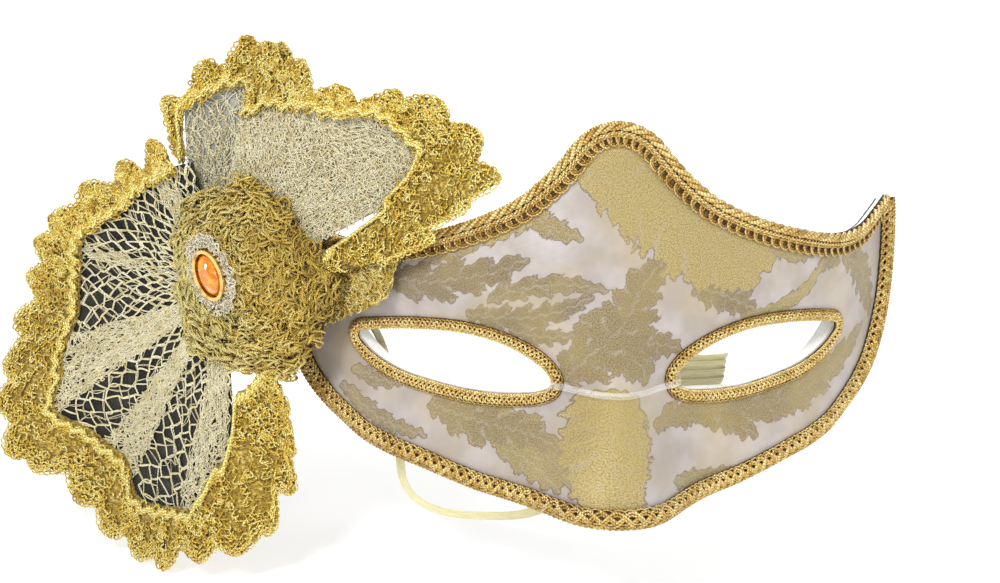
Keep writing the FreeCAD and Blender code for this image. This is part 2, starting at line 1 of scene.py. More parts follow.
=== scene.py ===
"""Looks of the venetian half mask: brocade, gimp braids, a gathered net and lace fan, gem and tie ribbons.

Lengths in the tables are millimetres, as in the part's own drawing, and points become metres when they
are placed. The mask's outlines are a flat pattern (arc, height) wrapped on an upright cylinder, and the
fan is drawn in polar coordinates (degrees, radius) about its hub.
"""

import math

import bpy
import numpy as np
from mathutils import Matrix, Vector


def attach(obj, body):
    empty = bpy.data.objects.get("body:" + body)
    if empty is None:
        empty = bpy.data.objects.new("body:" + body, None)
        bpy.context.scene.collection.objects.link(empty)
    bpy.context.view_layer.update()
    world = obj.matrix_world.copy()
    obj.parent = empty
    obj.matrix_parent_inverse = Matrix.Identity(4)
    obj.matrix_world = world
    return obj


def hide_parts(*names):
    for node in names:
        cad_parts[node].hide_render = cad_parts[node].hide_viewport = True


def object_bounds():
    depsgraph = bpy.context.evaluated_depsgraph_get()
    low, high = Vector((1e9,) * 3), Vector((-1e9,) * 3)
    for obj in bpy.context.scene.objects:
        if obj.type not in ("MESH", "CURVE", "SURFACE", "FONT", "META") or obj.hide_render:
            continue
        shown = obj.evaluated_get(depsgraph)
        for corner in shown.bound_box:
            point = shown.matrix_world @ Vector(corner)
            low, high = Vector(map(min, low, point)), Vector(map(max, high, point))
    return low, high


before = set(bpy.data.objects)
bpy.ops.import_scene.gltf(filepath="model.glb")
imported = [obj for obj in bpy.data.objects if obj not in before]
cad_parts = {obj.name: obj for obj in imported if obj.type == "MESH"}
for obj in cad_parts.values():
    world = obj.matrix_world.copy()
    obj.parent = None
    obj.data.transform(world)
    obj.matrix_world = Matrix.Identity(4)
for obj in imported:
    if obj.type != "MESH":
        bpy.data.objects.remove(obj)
cad_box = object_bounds()

MM = 0.001
TAU = 2 * math.pi

# ------------------------------------------------ dimensions shared with the part (mm, degrees)
WRAP_RADIUS = 97.0
LEAN_BACK = 4.0
COVER_LOW, COVER_TOP = 0.05, 0.5
LINING_TOP, LINING_FACE = -1.05, -1.6
BRAID_LOW = 0.65
SPRAY_BAND = (3.25, 5.85)
FAN_TURN = math.radians(-30)
HUB = np.array([-104.6, 46.5, 12.6])
FAN_RIGHT = np.array([math.cos(FAN_TURN), math.sin(FAN_TURN), 0])
FAN_FRONT = np.array([math.sin(FAN_TURN), -math.cos(FAN_TURN), 0])
FAN_UP = np.array([0.0, 0.0, 1.0])
PLEAT_HEIGHT = 4.5
SCALLOP_DEPTH, SCALLOP_PITCH = 5.0, 13.5
CREST_SETBACK = 4.2
GATHER_RADIUS = 7.0
NET_LIFT, LACE_LIFT = 0.8, 1.2
FAN_FACE = 3.2
ROSETTE_SHIFT, ROSETTE_RADIUS, ROSETTE_HEIGHT = (11.0, 4.6), 24.0, 8.0
GEM_SHIFT, GEM_SIZE, GEM_TILT = (2.8, 7.6), (12.5, 7.0, 4.0), math.radians(-20)
KNOT_RADIUS = 6.5
RIBBON_WIDTH = 3.0
HANK_MIDDLE = np.array([11.0, 25.0, -7.4])
HANK_TURN, HANK_SLOPE = math.radians(15), math.radians(6)
HANK_SIZE = (52.0, 9.0, 7.6)

# ------------------------------------------------ flat pattern of the right half (arc, height)
TOP_EDGE = [(0, 65.4), (5.4, 64.2), (9.8, 61.3), (14, 56.2), (19, 50.8), (27.5, 44), (43.5, 36.6),
            (62.5, 31), (75, 29), (86, 29.5), (96, 32), (107, 34)]
SIDE_EDGE = [(107, 34), (108.6, 27), (108.4, 17), (106, 5), (101.4, -4), (95, -12.3), (87, -18.2)]
BOTTOM_EDGE = [(0, -37), (11, -38), (24, -37.5), (35, -35.5), (43, -32.8), (52, -29.8), (61, -27.9),
               (70.5, -25.6), (79.3, -22), (87, -18.2)]
EYE_UPPER = [(15.7, -5.2), (19, -1), (24, 2.6), (32, 6), (41.5, 7.7), (53, 7.4), (65, 5.8), (77, 3.2)]
EYE_LOWER = [(77, 3.2), (71, -1.8), (61.5, -5.6), (49, -7.6), (36, -8.6), (22, -7.6), (15.7, -5.2)]
SPRAY_LOWER = [(-99, -5), (-90, 1), (-81, 7.5), (-72, 12.5), (-62, 18)]
SPRAY_UPPER = [(-104, 26), (-94, 26.5), (-84, 24.5), (-74, 24), (-58, 28)]

# ---------------------------------------------------------------- fan outlines (degrees, radius)
UPPER_NET = [(30, 62), (36, 76), (46, 75), (58, 66), (70, 59), (84, 52)]
UPPER_LACE = [(16, 62), (20, 72), (26, 93), (35, 92), (44, 88), (52, 77), (60, 72), (68, 73), (83, 72)]
UPPER_LACE_START = [(16, 27), (24, 36), (30, 56), (37, 73), (46, 73), (58, 64), (70, 57), (83, 50)]
CREST_NET = [(70, 56), (74, 65), (86, 59), (102, 55), (110, 40)]
CREST_LACE = [(70, 72), (83, 72), (94, 66), (102, 58), (108, 56), (112, 49)]
CREST_LACE_START = [(70, 54), (75, 62), (86, 57), (102, 53), (112, 37)]
LOWER_NET = [(104, 37), (145, 39), (173, 49), (192, 53), (209, 62), (217, 71), (226, 68), (236, 69),
             (244, 77), (262, 69), (273, 48)]
LOWER_LACE = [(113, 49), (123, 43), (140, 48), (159, 55), (173, 62), (186, 69), (198, 78), (210, 87),
              (220, 94), (227, 88), (242, 93), (253, 91), (263, 81), (278, 76), (287, 62), (299, 46),
              (307, 31)]
LOWER_LACE_START = [(113, 35), (145, 37), (173, 47), (192, 51), (209, 60), (217, 69), (226, 66), (236, 67),
                    (244, 75), (260, 67), (270, 50), (279, 29), (307, 23)]

# ------------------------------------------------ ribbon routes, from the patch to the hank (mm)
LEFT_ROUTE = [(-79.6, 52.4, 16.6), (-75.6, 48.2, 13.0), (-70.2, 43.6, 9.0), (-62.8, 41.0, 3.0),
              (-59.2, 37.6, -7.0), (-57.0, 35.0, -19.0), (-56.6, 33.0, -32.0), (-55.4, 31.5, -43.0),
              (-46.5, 29.5, -49.0), (-33.0, 27.5, -50.0), (-19.5, 24.0, -48.5), (-10.2, 21.5, -41.5),
              (-7.8, 20.4, -31.0), (-6.7, 20.3, -20.0), (-5.7, 20.5, -9.6)]
RIGHT_ROUTE = [(79.6, 52.4, 16.6), (77.8, 50.8, 8.5), (75.6, 48.9, -2.0), (72.0, 45.4, -13.5),
               (64.5, 41.4, -22.0), (54.0, 37.4, -26.5), (41.5, 33.6, -28.6), (29.0, 29.8, -28.9),
               (19.0, 27.0, -26.8), (12.8, 25.4, -20.8), (12.5, 25.4, -11.6)]


# ---------------------------------------------------------------- curves and surfaces, over arrays
def smoothstep(low, high, value):
    share = np.clip((np.asarray(value, float) - low) / (high - low), 0, 1)
    return share * share * (3 - 2 * share)


def spline(points, share):
    """Points at shares, 0 to 1, of the length of a smooth curve through the points."""
    p = np.asarray(points, float)
    spans = np.linalg.norm(np.diff(p, axis=0), axis=1)
    lengths = np.concatenate([[0], np.cumsum(spans)])
    slopes = np.empty_like(p)
    slopes[1:-1] = (p[2:] - p[:-2]) / (lengths[2:] - lengths[:-2])[:, None]
    slopes[0], slopes[-1] = (p[1] - p[0]) / spans[0], (p[-1] - p[-2]) / spans[-1]
    travel = np.clip(share, 0, 1) * lengths[-1]
    i = np.clip(np.searchsorted(lengths, travel, side="right") - 1, 0, len(spans) - 1)
    u = ((travel - lengths[i]) / spans[i])[..., None]
    span = spans[i][..., None]
    return ((1 + 2 * u) * (1 - u) ** 2 * p[i] + u * (1 - u) ** 2 * span * slopes[i]
            + u * u * (3 - 2 * u) * p[i + 1] + u * u * (u - 1) * span * slopes[i + 1])


def chord_length(points):
    return float(np.linalg.norm(np.diff(np.asarray(points, float), axis=0), axis=1).sum())


def mirrored(points):
    """A right half outline continued to the left: from the left end to the right end."""
    return [(-a, z) for a, z in reversed(points[1:])] + list(points)


def relief(arc, height):
    """Outward push of the moulded face: nose, brows and cheeks out, eye sockets in."""
    side = np.abs(arc)

    def bump(centre_arc, centre_height, width, tall, push):
        return push * np.exp(-((side - centre_arc) / width) ** 2 - ((height - centre_height) / tall) ** 2)

    nose_push = 24 * smoothstep(24, -40, height)
    nose_width = 9 + 8 * smoothstep(8, -40, height)
    return (nose_push * np.exp(-(side / nose_width) ** 2) + bump(48, 0, 28, 13, -4)
            + bump(40, 22, 34, 11, 2) + bump(52, -26, 26, 12, 3) + bump(0, 38, 28, 22, 3))


def mould(arc, height):
    turn = arc / WRAP_RADIUS
    reach = WRAP_RADIUS + relief(arc, height)
    lean = LEAN_BACK * ((height - 5) / 50) ** 2
    return np.stack([reach * np.sin(turn), WRAP_RADIUS - reach * np.cos(turn) + lean, height], -1)


def unit(vectors):
    return vectors / np.maximum(np.linalg.norm(vectors, axis=-1, keepdims=True), 1e-12)


def mask_normal(arc, height):
    step = 0.01
    across = mould(arc + step, height) - mould(arc - step, height)
    upward = mould(arc, height + step) - mould(arc, height - step)
    return unit(np.cross(across, upward))


def mask_point(arc, height, offset, seat=True):
    """Points of the mask at an offset outwards from the outer face of its shell, in mm."""
    arc, height, offset = np.broadcast_arrays(*(np.asarray(v, float) for v in (arc, height, offset)))
    placed = mould(arc, height) + mask_normal(arc, height) * offset[..., None]
    if seat:
        placed[..., 1] += SEAT_SHIFT
    return placed


SEAT_SHIFT = -float(mask_point(0.0, 0.0, LINING_FACE, seat=False)[1])


def fan_point(degrees, radius, offset):
    """Points of the fan, in mm: its pleats are flat at the hub and grow towards the rim."""
    degrees, radius, offset = np.broadcast_arrays(*(np.asarray(v, float) for v in (degrees, radius, offset)))
    angle = np.radians(degrees)
    pleat = PLEAT_HEIGHT * smoothstep(24, 70, radius) * np.sin(7 * angle + 0.6)
    return (HUB + FAN_RIGHT * (radius * np.cos(angle))[..., None]
            + FAN_UP * (radius * np.sin(angle))[..., None]
            + FAN_FRONT * (pleat + offset)[..., None])


def radius_at(table, degrees):
    """Radius of a fan outline at angles, eased from each table entry to the next."""
    degrees = np.asarray(degrees, float)
    result = np.full(degrees.shape, float(table[0][1]))
    for (d0, r0), (d1, r1) in zip(table, table[1:]):
        result = np.where(degrees > d0, r0 + (r1 - r0) * smoothstep(d0, d1, degrees), result)
    return result


# ---------------------------------------------------------------- meshes
class Mesh:
    """Gathers grids and tubes of quads, with a vector attribute on each point, into one object."""

    def __init__(self):
        self.points, self.quads, self.guides, self.count = [], [], [], 0

    def add(self, points, quads, guide):
        self.points.append(points.reshape(-1, 3))
        self.quads.append(quads + self.count)
        self.guides.append(np.broadcast_to(guide, points.shape).reshape(-1, 3))
        self.count += points.reshape(-1, 3).shape[0]

    def grid(self, points, guide, close_u=False, flip=False):
        """A grid (columns, rows, 3) of points."""
        columns, rows = points.shape[:2]
        index = np.arange(columns * rows).reshape(columns, rows)
        if close_u:
            index = np.concatenate([index, index[:1]], 0)
        quads = np.stack([index[:-1, :-1], index[1:, :-1], index[1:, 1:], index[:-1, 1:]], -1).reshape(-1, 4)
        self.add(points, quads[:, ::-1] if flip else quads, guide)

    def tubes(self, paths, radius, facing, sides=5, tone=None, closed=False):
        """Round threads along paths (count, steps, 3); facing is a direction off each path.

        The guide of a point is (length along, turn around, tone of its thread).
        """
        count, steps = paths.shape[:2]
        if closed:
            ahead, behind = np.roll(paths, -1, 1), np.roll(paths, 1, 1)
            tangent = unit(ahead - behind)
        else:
            tangent = unit(np.gradient(paths, axis=1))
        lateral = unit(np.cross(tangent, np.broadcast_to(facing, paths.shape)))
        upright = np.cross(lateral, tangent)
        radius = np.broadcast_to(np.asarray(radius, float), (count, steps))
        turn = np.arange(sides) / sides
        ring = (lateral[:, :, None] * np.cos(TAU * turn)[:, None]
                + upright[:, :, None] * np.sin(TAU * turn)[:, None])
        points = paths[:, :, None] + ring * radius[:, :, None, None]
        run = np.linalg.norm(np.diff(paths, axis=1, prepend=paths[:, :1]), axis=-1).cumsum(1)
        tone = np.zeros(count) if tone is None else np.broadcast_to(tone, (count,))
        guide = np.stack([np.broadcast_to(run[:, :, None], points.shape[:3]),
                          np.broadcast_to(turn, points.shape[:3]),
                          np.broadcast_to(tone[:, None, None], points.shape[:3])], -1)
        base = np.arange(count * steps * sides).reshape(count, steps, sides)
        after = np.roll(base, -1, 1) if closed else base[:, 1:]
        base = base if closed else base[:, :-1]
        quads = np.stack([base, after, np.roll(after, -1, 2), np.roll(base, -1, 2)], -1).reshape(-1, 4)
        self.add(points, quads, guide)

    def build(self, name, material, slot, replaces=(), smooth=True):
        """The object, in metres, riding on the frame's body."""
        points = np.concatenate(self.points) * MM
        quads = np.concatenate(self.quads)
        mesh = bpy.data.meshes.new(name)
        mesh.vertices.add(len(points))
        mesh.vertices.foreach_set("co", points.astype(np.float32).ravel())
        mesh.loops.add(quads.size)
        mesh.loops.foreach_set("vertex_index", quads.astype(np.int32).ravel())
        mesh.polygons.add(len(quads))
        mesh.polygons.foreach_set("loop_start", np.arange(0, quads.size, 4, dtype=np.int32))
        mesh.update(calc_edges=True)
        mesh.validate()
        if smooth:
            mesh.shade_smooth()
        guide = mesh.attributes.new("guide", "FLOAT_VECTOR", "POINT")
        guide.data.foreach_set("vector", np.concatenate(self.guides).astype(np.float32).ravel())
        return place(bpy.data.objects.new(name, mesh), material, replaces)


def place(piece, material, replaces=()):
    """Links a piece, gives it its material and lets it ride on the frame's one body."""
    bpy.context.scene.collection.objects.link(piece)
    piece.data.materials.append(material)
    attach(piece, "root")
    if replaces:
        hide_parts(*replaces)
    return piece


def two_faced(mesh, points_of, low, high, columns, rows, guide_of):
    """A closed thin slab of cloth over a unit chart between two offsets."""
    u, v = np.meshgrid(np.linspace(0, 1, columns), np.linspace(0, 1, rows), indexing="ij")
    top, bottom = points_of(u, v, high), points_of(u, v, low)
    guide = guide_of(u, v)
    mesh.grid(top, guide)
    mesh.grid(bottom, guide, flip=True)
    for edge in (np.s_[0], np.s_[-1], np.s_[:, 0], np.s_[:, -1]):
        mesh.grid(np.stack([top[edge], bottom[edge]], 1), np.stack([guide[edge], guide[edge]], 1))


# ---------------------------------------------------------------- materials
class Paint:
    """A node material around one Principled shader."""

    def __init__(self, name, rough=0.5, metal=0.0, **sockets):
        self.material = bpy.data.materials.new(name)
        self.material.use_nodes = True
        self.nodes, self.links = self.material.node_tree.nodes, self.material.node_tree.links
        self.shader = self.nodes["Principled BSDF"]
        self.shader.inputs["Roughness"].default_value = rough
        self.shader.inputs["Metallic"].default_value = metal
        for socket, value in sockets.items():
            self.shader.inputs[socket.replace("_", " ")].default_value = value

    def put(self, socket, value):
        if isinstance(value, bpy.types.NodeSocket):
            self.links.new(value, socket)
        elif isinstance(value, (tuple, list)) and len(value) == 3 and socket.type == "RGBA":
            socket.default_value = (*value, 1)
        else:
            socket.default_value = value

    def attribute(self, name="guide"):
        node = self.nodes.new("ShaderNodeAttribute")
        node.attribute_name = name
        return node.outputs["Vector"]

    def parts(self, vector):
        node = self.nodes.new("ShaderNodeSeparateXYZ")
        self.put(node.inputs[0], vector)
        return node.outputs

    def join(self, x, y, z=0.0):
        node = self.nodes.new("ShaderNodeCombineXYZ")
        for socket, value in zip(node.inputs, (x, y, z)):
            self.put(socket, value)
        return node.outputs[0]

    def object_place(self):
        return self.nodes.new("ShaderNodeTexCoord").outputs["Object"]

    def calc(self, operation, *values):
        """A Math node of the named operation."""
        node = self.nodes.new("ShaderNodeMath")
        node.operation = operation
        for socket, value in zip(node.inputs, values):
            self.put(socket, value)
        return node.outputs[0]

    def scaled(self, vector, factors):
        node = self.nodes.new("ShaderNodeVectorMath")
        node.operation = "MULTIPLY"
        self.put(node.inputs[0], vector)
        node.inputs[1].default_value = factors
        return node.outputs[0]

    def noise(self, vector, scale, detail=2.0, rough=0.5):
        node = self.nodes.new("ShaderNodeTexNoise")
        self.put(node.inputs["Vector"], vector)
        for socket, value in (("Scale", scale), ("Detail", detail), ("Roughness", rough)):
            node.inputs[socket].default_value = value
        return node.outputs["Fac"]

    def cells(self, vector, scale):
        node = self.nodes.new("ShaderNodeTexVoronoi")
        self.put(node.inputs["Vector"], vector)
        node.inputs["Scale"].default_value = scale
        return node.outputs["Distance"]

    def band(self, value, low, high, start=0.0, end=1.0):
        node = self.nodes.new("ShaderNodeMapRange")
        node.interpolation_type = "SMOOTHSTEP"
        for socket, number in zip(node.inputs, (value, low, high, start, end)):
            self.put(socket, number)
        return node.outputs[0]

    def mix(self, share, first, second):
        node = self.nodes.new("ShaderNodeMix")
        node.data_type = "RGBA"
        self.put(node.inputs[0], share)
        self.put(node.inputs[6], first)
        self.put(node.inputs[7], second)
        return node.outputs[2]

    def wave(self, value, turns=1.0):
        """0 to 1 and back, once for every 1 / turns of the value."""
        return self.calc("MULTIPLY_ADD", self.calc("SINE", self.calc("MULTIPLY", value, TAU * turns)),
                         0.5, 0.5)

    def bump(self, height, distance, strength=1.0, under=None):
        node = self.nodes.new("ShaderNodeBump")
        node.inputs["Strength"].default_value = strength
        node.inputs["Distance"].default_value = distance
        self.put(node.inputs["Height"], height)
        if under is not None:
            self.put(node.inputs["Normal"], under)
        return node.outputs[0]

    def finish(self, **sockets):
        for socket, value in sockets.items():
            self.put(self.shader.inputs[socket.replace("_", " ")], value)
        return self.material


def thread_paint(name, dark, mid, light, metal=0.75, rough=0.34, twist=0.9, grain=900.0):
    """Metallic thread: fine filaments wound slantwise, the colour uneven along and between threads. Bright
    specks of the light colour are painted glints, and the grooves of the twist are darkened as painted shade.
    """
    paint = Paint(name, rough, metal, Sheen_Weight=0.15)
    along, around, tone = paint.parts(paint.attribute())
    turns = paint.wave(paint.calc("ADD", paint.calc("DIVIDE", along, twist), around))
    place_vector = paint.object_place()
    patch = paint.noise(place_vector, grain * 0.25, 3.0, 0.6)
    speck = paint.noise(place_vector, grain * 1.6, 2.0)
    shade = paint.calc("ADD", paint.calc("MULTIPLY", tone, 0.5), paint.calc("MULTIPLY", patch, 0.7))
    colour = paint.mix(paint.band(shade, 0.15, 0.62), dark, mid)
    # painted glints: specks of the light colour where the tone and the speck noise are high, over the
    # thread's own uneven tone
    colour = paint.mix(paint.band(paint.calc("ADD", shade, paint.calc("MULTIPLY", speck, 0.5)), 0.72, 1.1),
                       colour, light)
    # painted shade: the grooves between the wound filaments are darkened towards the dark colour
    colour = paint.mix(paint.calc("MULTIPLY", paint.calc("SUBTRACT", 1.0, turns), 0.55), colour, dark)
    return paint.finish(Base_Color=colour, Roughness=paint.band(speck, 0.3, 0.7, rough * 0.75, rough * 1.35),
                        Normal=paint.bump(turns, 0.00018))


def lace_ground_paint(name, dark, mid, light, metal=0.6, rough=0.45):
    """Close embroidery: stitches in short slanted rows, seen between the loose threads over it. Its dark
    colours are painted shade for the gaps between those threads; the hollows between stitches are painted
    dark and the raised knots carry a painted highlight in the light colour.
    """
    paint = Paint(name, rough, metal, Sheen_Weight=0.2)
    at = paint.object_place()
    stitches = paint.noise(paint.scaled(at, (1.0, 1.0, 2.2)), 900.0, 3.0, 0.7)
    knots = paint.cells(at, 700.0)
    # painted shade: low stitches take the dark colour, raised ones the mid colour
    colour = paint.mix(paint.band(stitches, 0.32, 0.6), dark, mid)
    # painted highlight: the raised knots take the light colour
    colour = paint.mix(paint.band(knots, 0.55, 0.15), colour, light)
    height = paint.calc("SUBTRACT", stitches, paint.calc("MULTIPLY", knots, 0.8))
    return paint.finish(Base_Color=colour, Normal=paint.bump(height, 0.0007))


def organza_paint(name, colour, bright, alpha_low, alpha_high, weave=2600.0, sheen=0.3):
    """Sheer woven cloth: a fine square weave that lets some of what is behind it through."""
    paint = Paint(name, 0.55, 0.1, Sheen_Weight=sheen, Sheen_Roughness=0.4)
    at = paint.object_place()
    x, y, z = paint.parts(at)
    warp = paint.wave(paint.calc("ADD", x, paint.calc("MULTIPLY", y, 0.4)), weave)
    weft = paint.wave(z, weave)
    crease = paint.noise(at, 160.0, 4.0, 0.6)
    # painted shade and highlight on the crinkles: the colour runs from dark to bright with the crease noise
    # that also bumps the cloth
    mixed = paint.mix(paint.band(crease, 0.38, 0.68), colour, bright)
    alpha = paint.band(paint.calc("MULTIPLY", paint.calc("ADD", warp, weft), 0.5), 0.1, 0.9, alpha_low,
                       alpha_high)
    height = paint.calc("ADD", paint.calc("MULTIPLY", warp, weft), paint.calc("MULTIPLY", crease, 3.0))
    return paint.finish(Base_Color=mixed, Alpha=alpha, Normal=paint.bump(height, 0.0003))


def felt_paint(name, colour, bright, fuzz=1500.0):
    """Short pile or pressed fibre."""
    paint = Paint(name, 0.95, 0.0, Sheen_Weight=0.55, Sheen_Roughness=0.5)
    at = paint.object_place()
    fibre = paint.noise(at, fuzz, 4.0, 0.75)
    nap = paint.noise(at, 60.0, 2.0)
    mixed = paint.mix(paint.band(paint.calc("ADD", fibre, paint.calc("MULTIPLY", nap, 0.35)), 0.5, 0.85),
                      colour, bright)
    return paint.finish(Base_Color=mixed, Normal=paint.bump(fibre, 0.0005))


def brocade_paint():
    """Satin ground with woven leaves. The guide of a point is (leaf, gilding, vein)."""
    paint = Paint("brocade", 0.36, 0.0, Sheen_Weight=0.35, Sheen_Roughness=0.35)
    leaf, gilt, vein = paint.parts(paint.attribute())
    flat_x, flat_z, _ = paint.parts(paint.attribute("flat"))
    at = paint.join(flat_x, flat_z)
    slub = paint.noise(paint.scaled(at, (0.25, 5.0, 1.0)), 1.2, 3.0, 0.6)
    cloud = paint.noise(at, 0.07, 3.0, 0.55)
    speck = paint.noise(at, 2.6, 2.0, 0.7)
    twill = paint.wave(paint.calc("ADD", flat_x, flat_z), 1.9)
    rib = paint.wave(flat_z, 3.2)
    ground = paint.mix(paint.band(cloud, 0.36, 0.66), (0.40, 0.35, 0.315), (0.52, 0.475, 0.47))
    ground = paint.mix(paint.calc("MULTIPLY", slub, 0.35), ground, (0.32, 0.27, 0.22))
    taupe = paint.mix(paint.band(speck, 0.36, 0.62), (0.12, 0.088, 0.048), (0.31, 0.24, 0.145))
    gold = paint.mix(paint.band(speck, 0.34, 0.64), (0.36, 0.26, 0.09), (0.74, 0.62, 0.28))
    woven = paint.mix(gilt, taupe, gold)
    woven = paint.mix(paint.calc("MULTIPLY", vein, 0.8), woven, (0.56, 0.51, 0.46))
    woven = paint.mix(paint.calc("MULTIPLY", twill, 0.28), woven, (0.20, 0.14, 0.07))
    colour = paint.mix(leaf, ground, woven)
    outline = paint.calc("MULTIPLY", paint.band(leaf, 0.1, 0.45),
                         paint.calc("SUBTRACT", 1.0, paint.band(leaf, 0.55, 0.95)))
    colour = paint.mix(paint.calc("MULTIPLY", outline, 0.75), colour, (0.16, 0.105, 0.045))
    haze = paint.band(paint.noise(at, 0.045, 2.0, 0.5), 0.42, 0.66)
    colour = paint.mix(paint.calc("MULTIPLY", haze, 0.35), colour, (0.50, 0.38, 0.14))
    height = paint.calc("ADD", paint.calc("MULTIPLY", leaf, paint.calc("MULTIPLY_ADD", twill, 0.5, 0.6)),
                       paint.calc("MULTIPLY", rib, 0.14))
    shine = paint.calc("MULTIPLY", leaf, paint.calc("MULTIPLY", gilt, 0.55))
    rough = paint.calc("ADD", 0.33, paint.calc("MULTIPLY", leaf, 0.16))
    return paint.finish(Base_Color=colour, Metallic=shine, Roughness=rough,
                        Normal=paint.bump(height, 0.00022))


def satin_paint():
    """Satin ribbon: fine lengthways floats and a painted highlight band along both edges. The guide is
    (along, across, 0).
    """
    paint = Paint("satin_ribbon", 0.3, 0.25, Sheen_Weight=0.4, Anisotropic=0.5)
    along, across, _ = paint.parts(paint.attribute())
    floats = paint.noise(paint.join(paint.calc("MULTIPLY", along, 0.15),
                                    paint.calc("MULTIPLY", across, 30.0)), 1.5, 2.0)
    edge = paint.band(paint.calc("ABSOLUTE", across), 0.78, 0.95)
    colour = paint.mix(paint.band(floats, 0.35, 0.65), (0.60, 0.54, 0.25), (0.95, 0.87, 0.54))
    # painted highlight: a band of flat light colour along both edges of the ribbon
    colour = paint.mix(edge, colour, (0.80, 0.74, 0.40))
    return paint.finish(Base_Color=colour, Normal=paint.bump(paint.calc("ADD", floats, edge), 0.00008))


def plastic_paint():
    """Vacuum-formed white sheet with faint moulding waves and rubbed spots."""
    paint = Paint("white_plastic", 0.32, 0.0, Coat_Weight=0.15, Subsurface_Weight=0.05)
    at = paint.object_place()
    swirl = paint.noise(at, 35.0, 2.0)
    rub = paint.noise(at, 420.0, 4.0, 0.7)
    colour = paint.mix(paint.band(rub, 0.55, 0.75), (0.86, 0.85, 0.81), (0.76, 0.73, 0.66))
    return paint.finish(Base_Color=colour, Roughness=paint.band(rub, 0.3, 0.7, 0.24, 0.48),
                        Normal=paint.bump(swirl, 0.0006))


def gilt_paint():
    """Thin stamped gilt metal, burnished on its high spots."""
    paint = Paint("gilt_metal", 0.25, 1.0)
    at = paint.object_place()
    wear = paint.noise(at, 500.0, 4.0, 0.65)
    colour = paint.mix(paint.band(wear, 0.42, 0.7), (0.86, 0.60, 0.22), (0.50, 0.31, 0.10))
    return paint.finish(Base_Color=colour, Roughness=paint.band(wear, 0.3, 0.7, 0.18, 0.42),
                        Normal=paint.bump(wear, 0.0001))


def gem_paint():
    """Amber glass: a deep orange body with cloudier, redder depths."""
    paint = Paint("amber_glass", 0.06, 0.0, IOR=1.6, Coat_Weight=0.6, Coat_Roughness=0.03,
                  Transmission_Weight=0.15)
    at = paint.object_place()
    depth = paint.noise(at, 300.0, 3.0, 0.6)
    colour = paint.mix(paint.band(depth, 0.35, 0.65), (0.72, 0.20, 0.004), (1.0, 0.46, 0.015))
    return paint.finish(Base_Color=colour, Normal=paint.bump(depth, 0.00005))


def clear_paint():
    """Clear soft plastic band with faint stretch streaks."""
    paint = Paint("clear_plastic", 0.12, 0.0, IOR=1.45, Coat_Weight=0.5)
    at = paint.object_place()
    streak = paint.noise(paint.scaled(at, (0.2, 0.2, 4.0)), 500.0, 2.0)
    colour = paint.mix(streak, (0.86, 0.86, 0.84), (0.97, 0.97, 0.95))
    return paint.finish(Base_Color=colour, Alpha=paint.band(streak, 0.3, 0.7, 0.10, 0.26),
                        Normal=paint.bump(streak, 0.0001))


GOLD_LACE = thread_paint("gold_lace_thread", (0.34, 0.19, 0.012), (0.84, 0.60, 0.07), (1.0, 0.90, 0.34),
                         metal=0.6)
# the lace border's ground is dark partly as painted shade in the gaps between the loose threads
GOLD_GROUND = lace_ground_paint("gold_lace_ground", (0.20, 0.11, 0.01), (0.56, 0.38, 0.05),
                                (0.86, 0.68, 0.18))
BRONZE_LACE = thread_paint("bronze_lace_thread", (0.24, 0.14, 0.015), (0.84, 0.60, 0.09), (1.0, 0.90, 0.38),
                           metal=0.4, twist=0.6)
# the rosette's and spray's ground is dark partly as painted shade in the gaps between the curls
BRONZE_GROUND = lace_ground_paint("bronze_lace_ground", (0.05, 0.034, 0.008), (0.26, 0.17, 0.03),
                                  (0.56, 0.40, 0.09))
BRAID_GOLD = thread_paint("braid_thread", (0.22, 0.11, 0.018), (0.68, 0.43, 0.10), (1.0, 0.82, 0.36))
# the dark strip under the braids' cords: painted shade in the gaps between them
BRAID_GAP_SHADE = lace_ground_paint("braid_gap_shade", (0.035, 0.016, 0.004), (0.14, 0.07, 0.018),
                                 (0.30, 0.17, 0.05))
NET_THREAD = thread_paint("net_thread", (0.62, 0.52, 0.26), (0.95, 0.86, 0.54), (1.0, 0.97, 0.76),
                          metal=0.08, rough=0.45)
CREAM_THREAD = thread_paint("cream_thread", (0.50, 0.42, 0.26), (0.84, 0.76, 0.56), (0.98, 0.94, 0.80),
                            metal=0.1, rough=0.5)
PALE_ORGANZA = organza_paint("pale_organza", (0.74, 0.64, 0.36), (1.0, 0.93, 0.64), 0.95, 1.0)
GREY_ORGANZA = organza_paint("grey_organza", (0.42, 0.43, 0.36), (0.66, 0.66, 0.56), 0.75, 0.95)
DARK_ORGANZA = organza_paint("dark_organza", (0.012, 0.012, 0.009), (0.045, 0.044, 0.033), 0.94, 1.0,
                             sheen=0.05)
BLACK_FLOCK = felt_paint("black_flock", (0.006, 0.006, 0.007), (0.035, 0.034, 0.033), 2200.0)
FELT = felt_paint("felt", (0.03, 0.028, 0.025), (0.10, 0.094, 0.085))
BROCADE = brocade_paint()
SATIN = satin_paint()
PLASTIC = plastic_paint()
GILT = gilt_paint()
AMBER = gem_paint()
CLEAR = clear_paint()

# ---------------------------------------------------------------- camera
CAMERA_TARGET = Vector((-30.2, 16.1, 19.0)) * MM
CAMERA_AZIMUTH, CAMERA_ELEVATION, CAMERA_ROLL = (math.radians(a) for a in (-6, 15, 0.6))
CAMERA_DISTANCE, CAMERA_LENS = 0.6, 79.9

